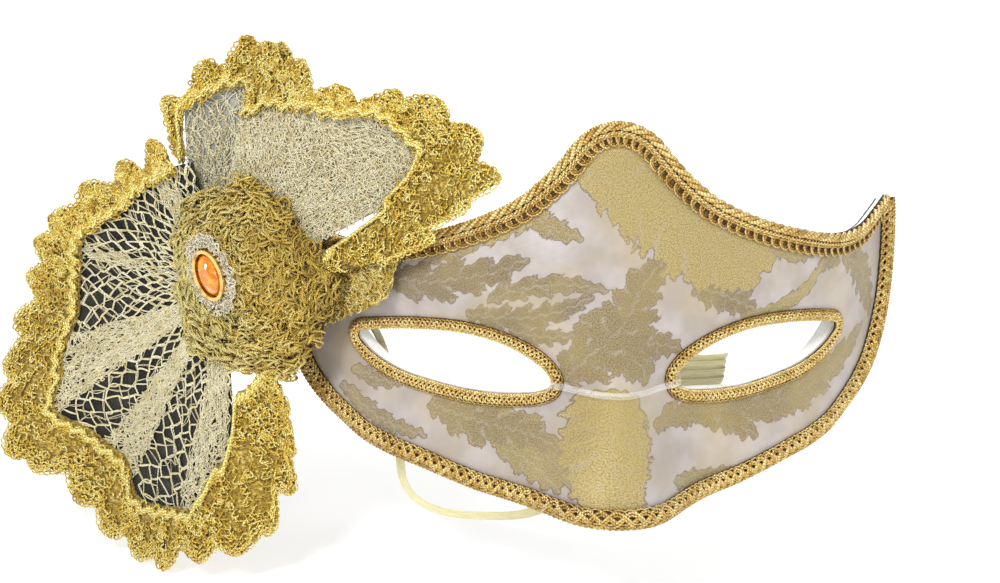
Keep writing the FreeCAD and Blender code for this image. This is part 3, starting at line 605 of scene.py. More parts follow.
lens = bpy.data.cameras.new("camera")
lens.lens, lens.sensor_width = CAMERA_LENS, 36.0
camera = bpy.data.objects.new("camera", lens)
bpy.context.scene.collection.objects.link(camera)
back = Vector((math.sin(CAMERA_AZIMUTH) * math.cos(CAMERA_ELEVATION),
               -math.cos(CAMERA_AZIMUTH) * math.cos(CAMERA_ELEVATION), math.sin(CAMERA_ELEVATION)))
aim = (-back).to_track_quat("-Z", "Y").to_matrix() @ Matrix.Rotation(CAMERA_ROLL, 3, "Z")
camera.matrix_world = Matrix.Translation(CAMERA_TARGET + back * CAMERA_DISTANCE) @ aim.to_4x4()
bpy.context.scene.camera = camera

# ---------------------------------------------------------------- ribbons
HANK_X = np.array([math.cos(HANK_TURN) * math.cos(HANK_SLOPE), math.sin(HANK_TURN) * math.cos(HANK_SLOPE),
                   -math.sin(HANK_SLOPE)])
HANK_Y = np.array([-math.sin(HANK_TURN), math.cos(HANK_TURN), 0.0])
HANK_Z = np.cross(HANK_X, HANK_Y)
RIBBON_THICKNESS = 0.16
TURN_POINTS = 18
PLY_STEP = 1.3


def hank_points(start_share, turns, level, outward):
    """Control points of a ribbon's turns round the hank, from below upwards."""
    half_run, half_depth = HANK_SIZE[0] / 2 - 0.9, HANK_SIZE[1] / 2 - 1.1
    steps = round(turns * TURN_POINTS)
    points = []
    for k in range(steps + 1):
        angle = TAU * (start_share + k / TURN_POINTS)
        cos, sin = math.cos(angle), math.sin(angle)
        x = half_run * math.copysign(abs(cos) ** 0.62, cos)
        y = (half_depth + outward) * math.copysign(abs(sin) ** 0.55, sin)
        z = level + 2 * PLY_STEP * k / TURN_POINTS
        points.append(tuple(HANK_MIDDLE + HANK_X * x + HANK_Y * y + HANK_Z * z))
    return points


def centreline(name, points):
    """Points in mm along the smooth NURBS line whose control points these are."""
    curve = bpy.data.curves.new(name, "CURVE")
    curve.dimensions, curve.resolution_u = "3D", 10
    line = curve.splines.new("NURBS")
    line.points.add(len(points) - 1)
    for point, place_mm in zip(line.points, points):
        point.co = (*(c * MM for c in place_mm), 1)
    line.order_u, line.use_endpoint_u = 3, True
    holder = bpy.data.objects.new(name, curve)
    sampled = bpy.data.meshes.new_from_object(holder)
    path = np.array([v.co for v in sampled.vertices]) / MM
    bpy.data.objects.remove(holder)
    return path


def ribbon(name, points, flat_facing, replaced):
    """A flat ribbon along a line, and that line in metres.

    flat_facing gives the direction that the ribbon's face looks in at each point of the line.
    """
    path = centreline(name + "_line", points)
    tangent = unit(np.gradient(path, axis=0))
    face = flat_facing(path)
    face = unit(face - tangent * (face * tangent).sum(1, keepdims=True))
    across = np.cross(tangent, face)
    run = np.linalg.norm(np.diff(path, axis=0, prepend=path[:1]), axis=1).cumsum()
    share = np.array([-1.0, -0.6, 0.0, 0.6, 1.0])
    mesh = Mesh()
    guide = np.stack([np.broadcast_to(run[:, None], (len(path), 5)), np.broadcast_to(share, (len(path), 5)),
                      np.zeros((len(path), 5))], -1)
    crown = 0.12 * (1 - share ** 2)
    faces = [path[:, None] + across[:, None] * (share * RIBBON_WIDTH / 2)[:, None]
             + face[:, None] * (crown + side * RIBBON_THICKNESS / 2)[:, None] for side in (1, -1)]
    mesh.grid(faces[0], guide)
    mesh.grid(faces[1], guide, flip=True)
    for edge in (0, -1):
        mesh.grid(np.stack([faces[0][:, edge], faces[1][:, edge]], 1), np.stack([guide[:, edge]] * 2, 1))
        mesh.grid(np.stack([faces[0][edge], faces[1][edge]], 1), np.stack([guide[edge]] * 2, 1))
    return mesh.build(name, SATIN, "satin_ribbon", replaced), path * MM


def turning_face(shift):
    """The ribbon's face looks out of the hank in its turns, and backwards along the free run."""
    def face(path):
        local = path - HANK_MIDDLE
        x, y, z = (local @ axis for axis in (HANK_X, HANK_Y, HANK_Z))
        bend = np.clip(np.abs(x) - (HANK_SIZE[0] / 2 - 6), 0, None) * np.sign(x)
        outward = HANK_X * bend[:, None] + HANK_Y * y[:, None]
        outward = unit(outward) - HANK_Z * 0.28
        near = smoothstep(9.5, 5.0, np.abs(z))[:, None] * (np.abs(x) < 30)[:, None]
        free = np.array([0.15, 1.0, 0.1]) + shift
        return unit(outward * near + unit(free)[None] * (1 - near))
    return face


left_turns = hank_points(0.60, 2.35, -3.0, 0.0)
right_turns = hank_points(0.36, 2.6, -1.7, 0.0)
left_ribbon, left_line = ribbon("left_tie", LEFT_ROUTE[:-1] + left_turns,
                                turning_face(np.array([0.6, 0.0, 0.3])), ("left_ribbon", "ribbon_hank"))
right_ribbon, right_line = ribbon("right_tie", RIGHT_ROUTE[:-1] + right_turns,
                                  turning_face(np.array([-0.3, 0.0, 0.3])), ("right_ribbon", "ribbon_hank"))


# ------------------------------------------------ shell, clear bands and bezel: CAD nodes repainted
for node, material in (("mask_shell", PLASTIC), ("gem_bezel", GILT), ("bridge_band", CLEAR),
                       ("hank_tie", CLEAR)):
    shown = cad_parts[node]
    shown.data.materials.clear()
    shown.data.materials.append(material)


# ---------------------------------------------------------------- skins over the whole mask
def eye_outline(side, steps=120):
    """Closed outline of an eye hole in the flat pattern."""
    upper = spline(EYE_UPPER, np.linspace(0, 1, steps, endpoint=False))
    lower = spline(EYE_LOWER, np.linspace(0, 1, steps, endpoint=False))
    return np.concatenate([upper, lower]) * (side, 1)


def inside(outline, points):
    """Whether flat points lie inside a closed outline."""
    x, z = points[..., 0], points[..., 1]
    crossed = np.zeros(x.shape, bool)
    for (x0, z0), (x1, z1) in zip(outline, np.roll(outline, -1, 0)):
        if z0 != z1:
            crossed ^= ((z0 > z) != (z1 > z)) & (x < (x1 - x0) * (z - z0) / (z1 - z0) + x0)
    return crossed


def distance_to(outline, points):
    """Distance of flat points from a closed outline and the nearest points on it."""
    best = np.full(len(points), 1e9)
    nearest = np.zeros_like(points)
    for start, end in zip(outline, np.roll(outline, -1, 0)):
        run = end - start
        share = np.clip(((points - start) @ run) / max(run @ run, 1e-9), 0, 1)[:, None]
        foot = start + share * run
        far = np.linalg.norm(points - foot, axis=1)
        closer = far < best
        best[closer], nearest[closer] = far[closer], foot[closer]
    return best, nearest


SIDE_UP = list(reversed(SIDE_EDGE))


def pattern_outline():
    shares = np.linspace(0, 1, 160, endpoint=False)
    bottom = spline(mirrored(BOTTOM_EDGE), shares)
    right = spline(SIDE_UP, np.linspace(0, 1, 40, endpoint=False))
    top = spline(mirrored(TOP_EDGE), shares)[::-1]
    left = spline(SIDE_UP, np.linspace(0, 1, 40, endpoint=False))[::-1] * (-1, 1)
    return np.concatenate([bottom, right, top, left])


def pattern_grid(spacing, eye_grow):
    """Flat points on a grid trimmed to the mask's outline and eye holes, and the quads between them."""
    arcs = np.arange(-110, 110 + spacing, spacing)
    heights = np.arange(-40, 68, spacing)
    points = np.stack(np.meshgrid(arcs, heights, indexing="ij"), -1)
    outline = pattern_outline()
    eyes = [grown(eye_outline(side), eye_grow) for side in (-1, 1)]
    kept = inside(outline, points)
    for eye in eyes:
        kept &= ~inside(eye, points)
    index = np.arange(kept.size).reshape(kept.shape)
    corners = np.stack([index[:-1, :-1], index[1:, :-1], index[1:, 1:], index[:-1, 1:]], -1).reshape(-1, 4)
    whole = kept.ravel()[corners].sum(1) >= 2
    corners = corners[whole]
    flat = points.reshape(-1, 2)
    stray = np.unique(corners[~kept.ravel()[corners]])
    snapped = flat.copy()
    best = np.full(len(stray), 1e9)
    for ring in [outline] + eyes:
        far, foot = distance_to(ring, flat[stray])
        closer = far < best
        best[closer] = far[closer]
        snapped[stray[closer]] = foot[closer]
    used, packed = np.unique(corners, return_inverse=True)
    return snapped[used], packed.reshape(corners.shape)


def grown(outline, amount):
    """A closed outline moved outwards."""
    run = np.roll(outline, -1, 0) - np.roll(outline, 1, 0)
    normal = unit(np.stack([run[:, 1], -run[:, 0]], 1))
    centre = outline.mean(0)
    if ((outline - centre) * normal).sum() < 0:
        normal = -normal
    return outline + normal * amount


def skin(name, material, slot, replaced, spacing, eye_grow, low, high, guide_of, ripple=0.0):
    """A cloth skin over the mask between two offsets, its border closed by a thin wall."""
    flat, quads = pattern_grid(spacing, eye_grow)
    arc, height = flat.T
    lift = ripple * np.sin(arc * 0.9 + 2 * np.sin(height * 0.21)) * np.sin(height * 1.1 + np.sin(arc * 0.17))
    upper, lower = mask_point(arc, height, high + lift), mask_point(arc, height, low)
    mesh = Mesh()
    guide = guide_of(flat)
    edges = np.concatenate([quads[:, [0, 1]], quads[:, [1, 2]], quads[:, [2, 3]], quads[:, [3, 0]]])
    _, inverse, counts = np.unique(np.sort(edges, 1), axis=0, return_inverse=True, return_counts=True)
    rim = edges[counts[inverse.ravel()] == 1]
    both = np.concatenate([upper, lower])
    shift = len(flat)
    walls = np.stack([rim[:, 1], rim[:, 0], rim[:, 0] + shift, rim[:, 1] + shift], 1)
    every = np.concatenate([quads, quads[:, ::-1] + shift, walls])
    mesh.add(both, every, np.concatenate([guide, guide]))
    piece = mesh.build(name, material, slot, (replaced,))
    chart = piece.data.attributes.new("flat", "FLOAT_VECTOR", "POINT")
    plane = np.concatenate([flat, flat])
    plane = np.concatenate([plane, np.zeros((len(plane), 1))], 1)
    chart.data.foreach_set("vector", plane.astype(np.float32).ravel())
    halves = [np.diff(flat[quads[:, corners]], axis=1).transpose(1, 0, 2)
              for corners in ([0, 1, 2], [2, 3, 0])]
    return piece


# leaves of the brocade: spine (arc, height), half width, lobes on each side, gilding
LEAVES = [
    ([(-70, 20), (-60.8, 21.3), (-51.1, 21.5), (-41.2, 23.7), (-32.8, 25.8), (-23.0, 30.4)], 4.6, 5, 0.15),
    ([(-56, 20), (-50.2, 19.8), (-43.2, 17.2)], 2.6, 3, 0.1),
    ([(-34.5, 18.2), (-29, 20.6), (-24.3, 22.2), (-12.9, 23.7), (-2.3, 22.0)], 2.5, 5, 0.25),
    ([(-41, 13.4), (-30.2, 13.4), (-21.5, 14.3), (-14.1, 16.6), (-6.0, 20.8)], 3.1, 6, 0.1),
    ([(-29, 9.6), (-24, 9.0), (-18.8, 8.5), (-10.1, 9.2)], 2.2, 4, 0.1),
    ([(-13.5, -3.5), (-7, 4), (-1.7, 9.0), (3.4, 15.5), (6.7, 23.4), (12.2, 30.4)], 6.6, 7, 0.3),
    ([(-2, 6.0), (5.9, 7.0), (14.5, 5.6), (19, 3.5)], 3.6, 4, 0.3),
    ([(-6.5, 52.0), (2.4, 48.7), (12.2, 44.2), (17.3, 38.5), (24.1, 32.2), (33.4, 26.0), (40, 20.5)],
     10.5, 6, 0.92),
    ([(-13, 57), (-5, 57), (2, 54), (8, 50)], 6.0, 3, 1.0),
    ([(20, 22.6), (28.3, 19.4), (36.3, 15.6), (41, 13.1)], 3.8, 5, 0.25),
    ([(36.4, 11.6), (45, 11.4), (53.8, 13.9), (60, 18.0), (66, 24.0)], 2.3, 2, 0.8),
    ([(63, 22.5), (68.5, 23.6), (74, 21.6)], 2.6, 3, 0.35),
    ([(78, 22), (86, 18), (93, 10), (98, 1)], 4.6, 5, 0.3),
    ([(8, -14.5), (18, -13.5), (29.8, -14.5), (42.6, -14.9), (56.8, -14.3), (76.1, -10.2)], 4.2, 8, 0.35),
    ([(31.0, -17.0), (36.6, -19.6), (42.2, -23.2)], 2.7, 2, 0.15),
    ([(1.5, -4.0), (-1.6, -12.0), (-2.2, -20.6), (-0.4, -28.9), (3, -35)], 7.2, 5, 1.0),
    ([(-51.5, -13.4), (-42.6, -15.4), (-33.0, -17.4), (-22.9, -18.8), (-12.5, -21.8)], 4.8, 6, 0.3),
    ([(-30, -23), (-21, -27), (-13, -32)], 4.0, 4, 0.55),
    ([(-78, -7), (-69, -9.5), (-60, -9.5)], 2.0, 3, 0.3),
    ([(-82, -12.5), (-72, -17.5), (-61, -21.0), (-50, -22.0)], 2.3, 5, 0.3),
    ([(14, -30), (24, -33), (34, -31.5)], 2.3, 3, 0.6),
    ([(-25, 44), (-18, 39), (-9, 36)], 2.6, 3, 0.55),
    ([(-52, 27.5), (-45, 30.0), (-36, 33.0)], 1.8, 3, 0.4),
    ([(44, 30.5), (53, 27.6), (61, 26.0)], 2.3, 3, 0.6),
    ([(-96, 4), (-88, 10), (-80, 15)], 4.0, 4, 0.3),
    ([(-15, 57), (-3, 55), (9, 48), (20, 39), (33, 31), (46, 26)], 9.0, 4, 1.0),
    ([(-3, -5), (-4, -14), (-4, -24), (-2, -33), (0, -37)], 8.5, 3, 1.0),
    ([(-48, -12), (-38, -15), (-28, -18), (-17, -24), (-8, -30)], 6.2, 5, 0.5),
    ([(24, -12), (40, -13.5), (60, -13), (80, -7), (92, 0)], 4.6, 7, 0.45),
    ([(-10, 14), (-3, 10), (4, 4), (8, -3)], 6.5, 5, 0.35),
    ([(-18, 47), (-26, 40), (-38, 35), (-52, 31)], 2.6, 4, 0.9),
    ([(76, 20), (84, 27), (94, 30)], 4.0, 3, 0.5),
    ([(-92, 16), (-80, 20), (-68, 26)], 4.6, 4, 0.4),
]
LEAF_SWEEP = 0.85
LEAF_FULLNESS = 1.3


def brocade_guide(flat):
    """(leaf, gilding, vein) at flat points: lobed leaves along spines, ribbed from the spine outwards."""
    warped = flat + 0.35 * np.stack([np.sin(flat[:, 1] * 1.7 + flat[:, 0] * 0.6),
                                     np.sin(flat[:, 0] * 1.9 - flat[:, 1] * 0.5)], 1)
    leaf, gilt, vein = (np.zeros(len(flat)) for _ in range(3))
    for spine, half_width, lobes, gilding in LEAVES:
        half_width = half_width * LEAF_FULLNESS
        shares = np.linspace(0, 1, 80)
        line = spline(spine, shares)
        low, high = line.min(0) - half_width * 1.6, line.max(0) + half_width * 1.6
        near = np.flatnonzero(((warped > low) & (warped < high)).all(1))
        away = warped[near][:, None] - line[None]
        far = np.linalg.norm(away, axis=2)
        step = far.argmin(1)
        lateral = far[np.arange(len(near)), step]
        share = shares[step]
        tangent = unit(np.gradient(line, axis=0))[step]
        offset = away[np.arange(len(near)), step]
        side = np.sign(tangent[:, 0] * offset[:, 1] - tangent[:, 1] * offset[:, 0])
        body = np.sin(np.pi * np.clip(share, 0.0, 1.0) ** 0.8) ** 0.55
        swept = share * lobes - LEAF_SWEEP * lateral / half_width + 0.25 * side
        lobe = np.abs((swept % 1.0) - 0.5) * 2
        depth = 0.58 - 0.36 * gilding
        reach = half_width * body * (1 - depth * lobe ** 1.5) * (1 + 0.1 * np.sin(TAU * 3 * swept))
        tip = (share > 0.001) & (share < 0.999)
        inner = smoothstep(0.45, -0.4, lateral - reach) * tip
        ribs = smoothstep(0.80, 0.96, lobe) * smoothstep(0.1, 0.5, lateral / half_width)
        stem = smoothstep(0.34, 0.12, lateral) * 0.8
        rim = smoothstep(0.75, 0.2, reach - lateral) * 0.35
        stronger = inner > leaf[near]
        leaf[near] = np.maximum(leaf[near], inner)
        gilt[near] = np.where(stronger, gilding, gilt[near])
        vein[near] = np.where(stronger, np.maximum(np.maximum(ribs, stem) * (1 - 0.6 * gilding), rim),
                              vein[near])
    return np.stack([leaf, gilt, vein], 1)


skin("brocade", BROCADE, "brocade", "brocade_cover", 0.42, 0.0, COVER_LOW, COVER_TOP, brocade_guide, 0.04)
skin("flock_lining", BLACK_FLOCK, "black_flock", "shell_lining", 1.0, 1.4, LINING_TOP, LINING_FACE,
     lambda flat: np.zeros((len(flat), 3)))


# ---------------------------------------------------------------- braids
SIDE_BRAID_TILT = math.radians(42)
SIDE_BRAID_PIVOT = 3.2


def edge_path(edge, along, inset, lift, pivot=None):
    """Points beside a pattern edge: along it, inset from it and lifted off the shell, all in mm.

    With a pivot inset, the braid stands off the shell outside that line towards the temples.
    """
    share = along / chord_length(edge)
    step = 0.002
    before, after = spline(edge, np.clip(share - step, 0, 1)), spline(edge, np.clip(share + step, 0, 1))
    run = unit(after - before)
    middle, inward = spline(edge, share), np.stack([run[..., 1], -run[..., 0]], -1)
    flat = middle + inward * inset[..., None]
    points, normal = mask_point(*np.moveaxis(flat, -1, 0), lift), mask_normal(*np.moveaxis(flat, -1, 0))
    if pivot is None:
        return points, normal
    hinge_flat = middle + inward * pivot
    hinge = mask_point(*np.moveaxis(hinge_flat, -1, 0), BRAID_LOW)
    hinge_normal = mask_normal(*np.moveaxis(hinge_flat, -1, 0))
    ahead = spline(edge, np.clip(share + step, 0, 1)) + inward * pivot
    axis = unit(mask_point(*np.moveaxis(ahead, -1, 0), BRAID_LOW) - hinge + 1e-9)
    angle = (SIDE_BRAID_TILT * smoothstep(74, 104, np.abs(hinge_flat[..., 0]))
             * smoothstep(pivot, pivot - 2.5, inset))
    arm = points - hinge
    outward = np.cross(axis, hinge_normal)
    outward = outward * np.sign((outward * (mask_point(*np.moveaxis(middle, -1, 0), BRAID_LOW) - hinge)).sum(
        -1, keepdims=True))
    far, high = (arm * outward).sum(-1), (arm * hinge_normal).sum(-1)
    rest = arm - outward * far[..., None] - hinge_normal * high[..., None]
    cos, sin = np.cos(angle), np.sin(angle)
    turned = (outward * (far * cos - high * sin)[..., None]
              + hinge_normal * (far * sin + high * cos)[..., None])
    return hinge + rest + turned, normal


def braid_strands(mesh, locate, length, strands):
    """Adds strands, each (inset, lift, radius) as functions of the length along and a count of samples."""
    for inset_of, lift_of, radius, shift_of, spacing, tone, sides in strands:
        along = np.arange(0, length, spacing)
        inset, lift = inset_of(along), lift_of(along)
        travelled = np.clip(along + shift_of(along), 0, length)
        points, normal = locate(travelled, inset, lift)
        mesh.tubes(points[None], radius, normal[None], sides=sides, tone=np.array([tone]))


def nothing(along):
    return np.zeros_like(along)


def rope(centre, lift, radius, strand, pitch, plies, spacing=0.35, tone=0.4):
    """Strands twisted round one another into a rope."""
    made = []
    for k in range(plies):
        phase = TAU * k / plies
        made.append((lambda s, p=phase: centre + radius * np.cos(TAU * s / pitch + p),
                     lambda s, p=phase: lift + radius * np.sin(TAU * s / pitch + p),
                     strand, nothing, spacing, tone + 0.2 * k, 7))
    return made


def loops(centre, lift, size, pitch, wire, spacing=0.16, tone=0.5, rise=0.35):
    """A cord laid in a row of overlapping round loops."""
    def turn(s):
        return TAU * s / pitch

    return [(lambda s: centre - size * np.cos(turn(s)), lambda s: lift + rise * np.sin(turn(s)), wire,
             lambda s: -size * np.sin(turn(s)), spacing, tone, 6)]


def plait(centre, lift, half_width, depth, wavelength, strand, plies, spacing=0.3, tone=0.4, split=0.0):
    """A flat plait: each ply swings from side to side, over and under the others."""
    made = []
    for k in range(plies):
        for part in (-1, 1) if split else (0,):
            phase = TAU * k / plies
            made.append((lambda s, p=phase, d=part: (centre + half_width * np.sin(TAU * s / wavelength + p)
                                                     + d * split),
                         lambda s, p=phase: lift + depth * np.sin(2 * (TAU * s / wavelength + p)
                                                                  + 0.4 * np.pi),
                         strand, nothing, spacing, tone + 0.15 * (k % 3) + 0.1 * part, 6))
    return made


def gap_shade_strip(mesh, locate, length, inset_from, inset_to, low, high, columns):
    """A dark strip under a braid's cords: painted shade in the gaps between them."""
    along = np.linspace(0, length, columns)
    across = np.linspace(inset_from, inset_to, 7)
    s, w = np.meshgrid(along, across, indexing="ij")
    crown = 1 - ((w - (inset_from + inset_to) / 2) / (inset_to - inset_from) * 2) ** 2
    top, _ = locate(s, w, low + (high - low) * crown)
    base, _ = locate(s, w, np.full_like(s, low - 0.1))
    guide = np.stack([s, w, np.zeros_like(s)], -1)
    mesh.grid(top, guide)
    mesh.grid(base, guide, flip=True)


def make_braid(name, locate, length, strands, ground, replaced, columns=500):
    cords, base = Mesh(), Mesh()
    braid_strands(cords, locate, length, strands)
    # the dark strip under the cords is painted shade in the gaps between them
    gap_shade_strip(base, locate, length, *ground, columns)
    piece = cords.build(name, BRAID_GOLD, "gold_braid", (replaced,))
    backing = base.build(name + "_ground", BRAID_GAP_SHADE, "gold_braid", (replaced,))
    return piece, backing


top_path = mirrored(TOP_EDGE)
top_length = chord_length(top_path)


def locate_top(s, w, h):
    return edge_path(top_path, s, w, h)


make_braid("top_gimp", locate_top, top_length,
           rope(0.35, 1.95, 0.72, 0.66, 9.0, 3) + rope(2.15, 1.55, 0.30, 0.30, 2.6, 2, tone=0.7)
           + loops(4.15, 1.25, 1.32, 2.95, 0.30) + loops(4.15, 1.05, 0.72, 2.95, 0.24, tone=0.2)
           + rope(2.9, 1.35, 0.22, 0.24, 2.2, 2, tone=0.3),
           (-0.9, 4.9, 0.66, 1.05), "top_edge_braid")

lower_half = SIDE_EDGE[:-1] + list(reversed(BOTTOM_EDGE))
lower_path = lower_half + [(-a, z) for a, z in reversed(lower_half[:-1])]
lower_length = chord_length(lower_path)


def locate_lower(s, w, h):
    return edge_path(lower_path, s, w, h, SIDE_BRAID_PIVOT)


make_braid("lower_gimp", locate_lower, lower_length,
           plait(1.5, 1.7, 1.6, 0.45, 7.6, 0.4, 3, split=0.42)
           + rope(-0.72, 1.35, 0.26, 0.32, 2.3, 2, tone=0.2)
           + loops(3.55, 1.25, 0.62, 1.9, 0.24, tone=0.6, rise=0.2),
           (-0.9, 4.1, 0.66, 1.15), "lower_edge_braid", 700)


def eye_track(side, away):
    """A smooth closed line round an eye hole, away from its edge."""
    outline = eye_outline(side, 90)
    line = grown(outline, away)
    for corner, low in ((0, -away * 0.75), (90, away * 0.75)):
        line[corner] = outline[corner] + np.array([low * side, 0.0])
    for _ in range(6):
        line = 0.25 * np.roll(line, 1, 0) + 0.5 * line + 0.25 * np.roll(line, -1, 0)
    return line


def locate_eye(side):
    middle = eye_track(side, 1.95)
    closed = np.concatenate([middle, middle[:1]])
    run = np.concatenate([[0], np.linalg.norm(np.diff(closed, axis=0), axis=1).cumsum()])
    square = np.stack([np.gradient(middle[:, 1]), -np.gradient(middle[:, 0])], 1)
    sign = -1 if ((middle - middle.mean(0)) * square).sum() < 0 else 1

    def locate(s, w, h):
        s = np.mod(s, run[-1])
        flat = np.stack([np.interp(s, run, closed[:, k]) for k in (0, 1)], -1)
        step = 0.6
        ahead, behind = (np.stack([np.interp(np.mod(s + d, run[-1]), run, closed[:, k]) for k in (0, 1)], -1)
                         for d in (step, -step))
        tangent = unit(ahead - behind)
        flat = flat + np.stack([tangent[..., 1], -tangent[..., 0]], -1) * (sign * w)[..., None]
        return mask_point(flat[..., 0], flat[..., 1], h), mask_normal(flat[..., 0], flat[..., 1])
    return locate, run[-1]


for eye, side in (("right_eye", 1), ("left_eye", -1)):
    locate, length = locate_eye(side)
    make_braid(f"{eye}_gimp", locate, length,
               plait(0.05, 1.55, 0.95, 0.34, 4.2, 0.36, 3, tone=0.5)
               + rope(-1.25, 1.35, 0.22, 0.27, 2.0, 2, tone=0.7)
               + loops(1.25, 1.15, 0.42, 1.35, 0.2, tone=0.3, rise=0.15),
               (-1.6, 1.75, 0.62, 1.1), f"{eye}_braid", 300)


# ---------------------------------------------------------------- fan cloth
def fan_sheet(mesh, table, low, high, columns, rows, seed, crumple):
    """A gathered polar sheet of cloth with fine creases running out from the hub."""
    generator = np.random.default_rng(seed)
    first, last = table[0][0], table[-1][0]
    waves = [(generator.uniform(18, 60), generator.uniform(0, TAU), generator.uniform(0.3, 1))
             for _ in range(7)]

    def points(u, v, offset):
        degrees = first + (last - first) * u
        radius = GATHER_RADIUS - 4 + (radius_at(table, degrees) - GATHER_RADIUS + 4) * v
        creases = sum(a * np.sin(np.radians(degrees) * f + p + 0.02 * radius)
                      for f, p, a in waves) / len(waves)
        return fan_point(degrees, radius, offset + crumple * creases * smoothstep(6, 40, radius))

    two_faced(mesh, points, low, high, columns, rows, lambda u, v: np.stack([u, v, np.zeros_like(u)], -1))


NET_START = 12.0


def honeycomb(table, cell, stretch, seed, jitter):
    """Edges ((degrees, radius) pairs) of an uneven net of six-sided cells across a fan outline."""
    generator = np.random.default_rng(seed)
    first, last = table[0][0], table[-1][0]
    middle = radius_at(table, np.linspace(first, last, 50)).mean() * 0.62
    around = math.degrees(cell / middle)
    along = cell * stretch
    columns = int((last - first) / around) + 2
    rows = int(95 / along) + 2
    nodes, edges = {}, []
    for i in range(-1, columns):
        for j in range(rows):
            shift = 0.5 if j % 2 else 0.0
            for end, rise in ((0, 0.0), (1, 1 / 3)):
                nodes[i, j, end] = np.array([first + around * (i + shift), NET_START + along * (j + rise)])
    for key, spot in nodes.items():
        nodes[key] = spot + generator.normal(0, jitter, 2) * (around, along)
    for i in range(-1, columns):
        for j in range(rows):
            edges.append((nodes[i, j, 0], nodes[i, j, 1]))
            for di in ((0, 1) if j % 2 else (-1, 0)):
                if (i + di, j + 1, 0) in nodes:
                    edges.append((nodes[i, j, 1], nodes[i + di, j + 1, 0]))
    ends = np.array(edges)
    limit = radius_at(table, ends[..., 0])
    good = ((ends[..., 0] > first - 1) & (ends[..., 0] < last + 1) & (ends[..., 1] < limit + 1)).all(1)
    return ends[good]


def net_threads(mesh, table, cell, stretch, seed, jitter, lift, thread, spread=0.25, steps=6):
    """Threads along the cells of a net, each doubled by a slack companion."""
    generator = np.random.default_rng(seed + 1)
    ends = honeycomb(table, cell, stretch, seed, jitter)
    share = np.linspace(-0.04, 1.04, steps)[None, :, None]
    base = ends[:, :1] * (1 - share) + ends[:, 1:] * share
    for copy in range(2):
        bow = generator.normal(0, spread, (len(ends), 1)) * np.sin(np.pi * np.clip(share[..., 0], 0, 1))
        degrees = base[..., 0] + np.degrees(bow / np.maximum(base[..., 1], 8))
        radius = base[..., 1] + bow * 0.6
        rise = lift + 0.12 * copy + generator.normal(0, 0.12, (len(ends), 1)) * np.sin(np.pi * share[..., 0])
        paths = fan_point(degrees, radius, rise)
        mesh.tubes(paths, thread * generator.uniform(0.7, 1.25, (len(ends), 1)), FAN_FRONT, sides=4,
                   tone=generator.uniform(0, 1, len(ends)))


def table_between(table, first, last):
    """The part of a fan outline between two angles."""
    return [(d, float(radius_at(table, d))) for d in np.linspace(first, last, 5)]


def fold_threads(mesh, first, last, near, far_table, count, seed, lift, thread, wander=2.0):
    """Bundled threads running out from the hub where the net is folded on itself."""
    generator = np.random.default_rng(seed)
    degrees = generator.uniform(first, last, count)
    start = generator.uniform(near, near + 12, count)
    end = radius_at(far_table, degrees) * generator.uniform(0.75, 1.0, count)
    share = np.linspace(0, 1, 14)[None]
    path_degrees = degrees[:, None] + generator.normal(0, wander, (count, 1)) * (share - 0.5)
    path_degrees = path_degrees + 0.8 * np.sin(share * generator.uniform(8, 22, (count, 1))
                                               + generator.uniform(0, 6, (count, 1)))
    radius = start[:, None] + (end - start)[:, None] * share
    rise = lift + 0.35 * generator.uniform(0, 1, (count, 1)) * np.sin(share * np.pi)
    mesh.tubes(fan_point(path_degrees, radius, rise), thread, FAN_FRONT, sides=4,
               tone=generator.uniform(0, 1, count))


def scallop_rim(table):
    """Table of the rim worn into scallops: angles and radii, finely spaced."""
    degrees = np.linspace(table[0][0], table[-1][0], 1400)
    base = radius_at(table, degrees)
    travel = np.concatenate([[0], np.hypot(np.diff(base), np.radians(np.diff(degrees)) * base[1:]).cumsum()])
    count = round(travel[-1] / SCALLOP_PITCH)
    phase = count * travel / travel[-1]
    wave = np.abs(np.sin(np.pi * phase))
    return degrees, base - SCALLOP_DEPTH * (1 - wave), travel, phase


LOOPS_PER_MM2 = 0.55


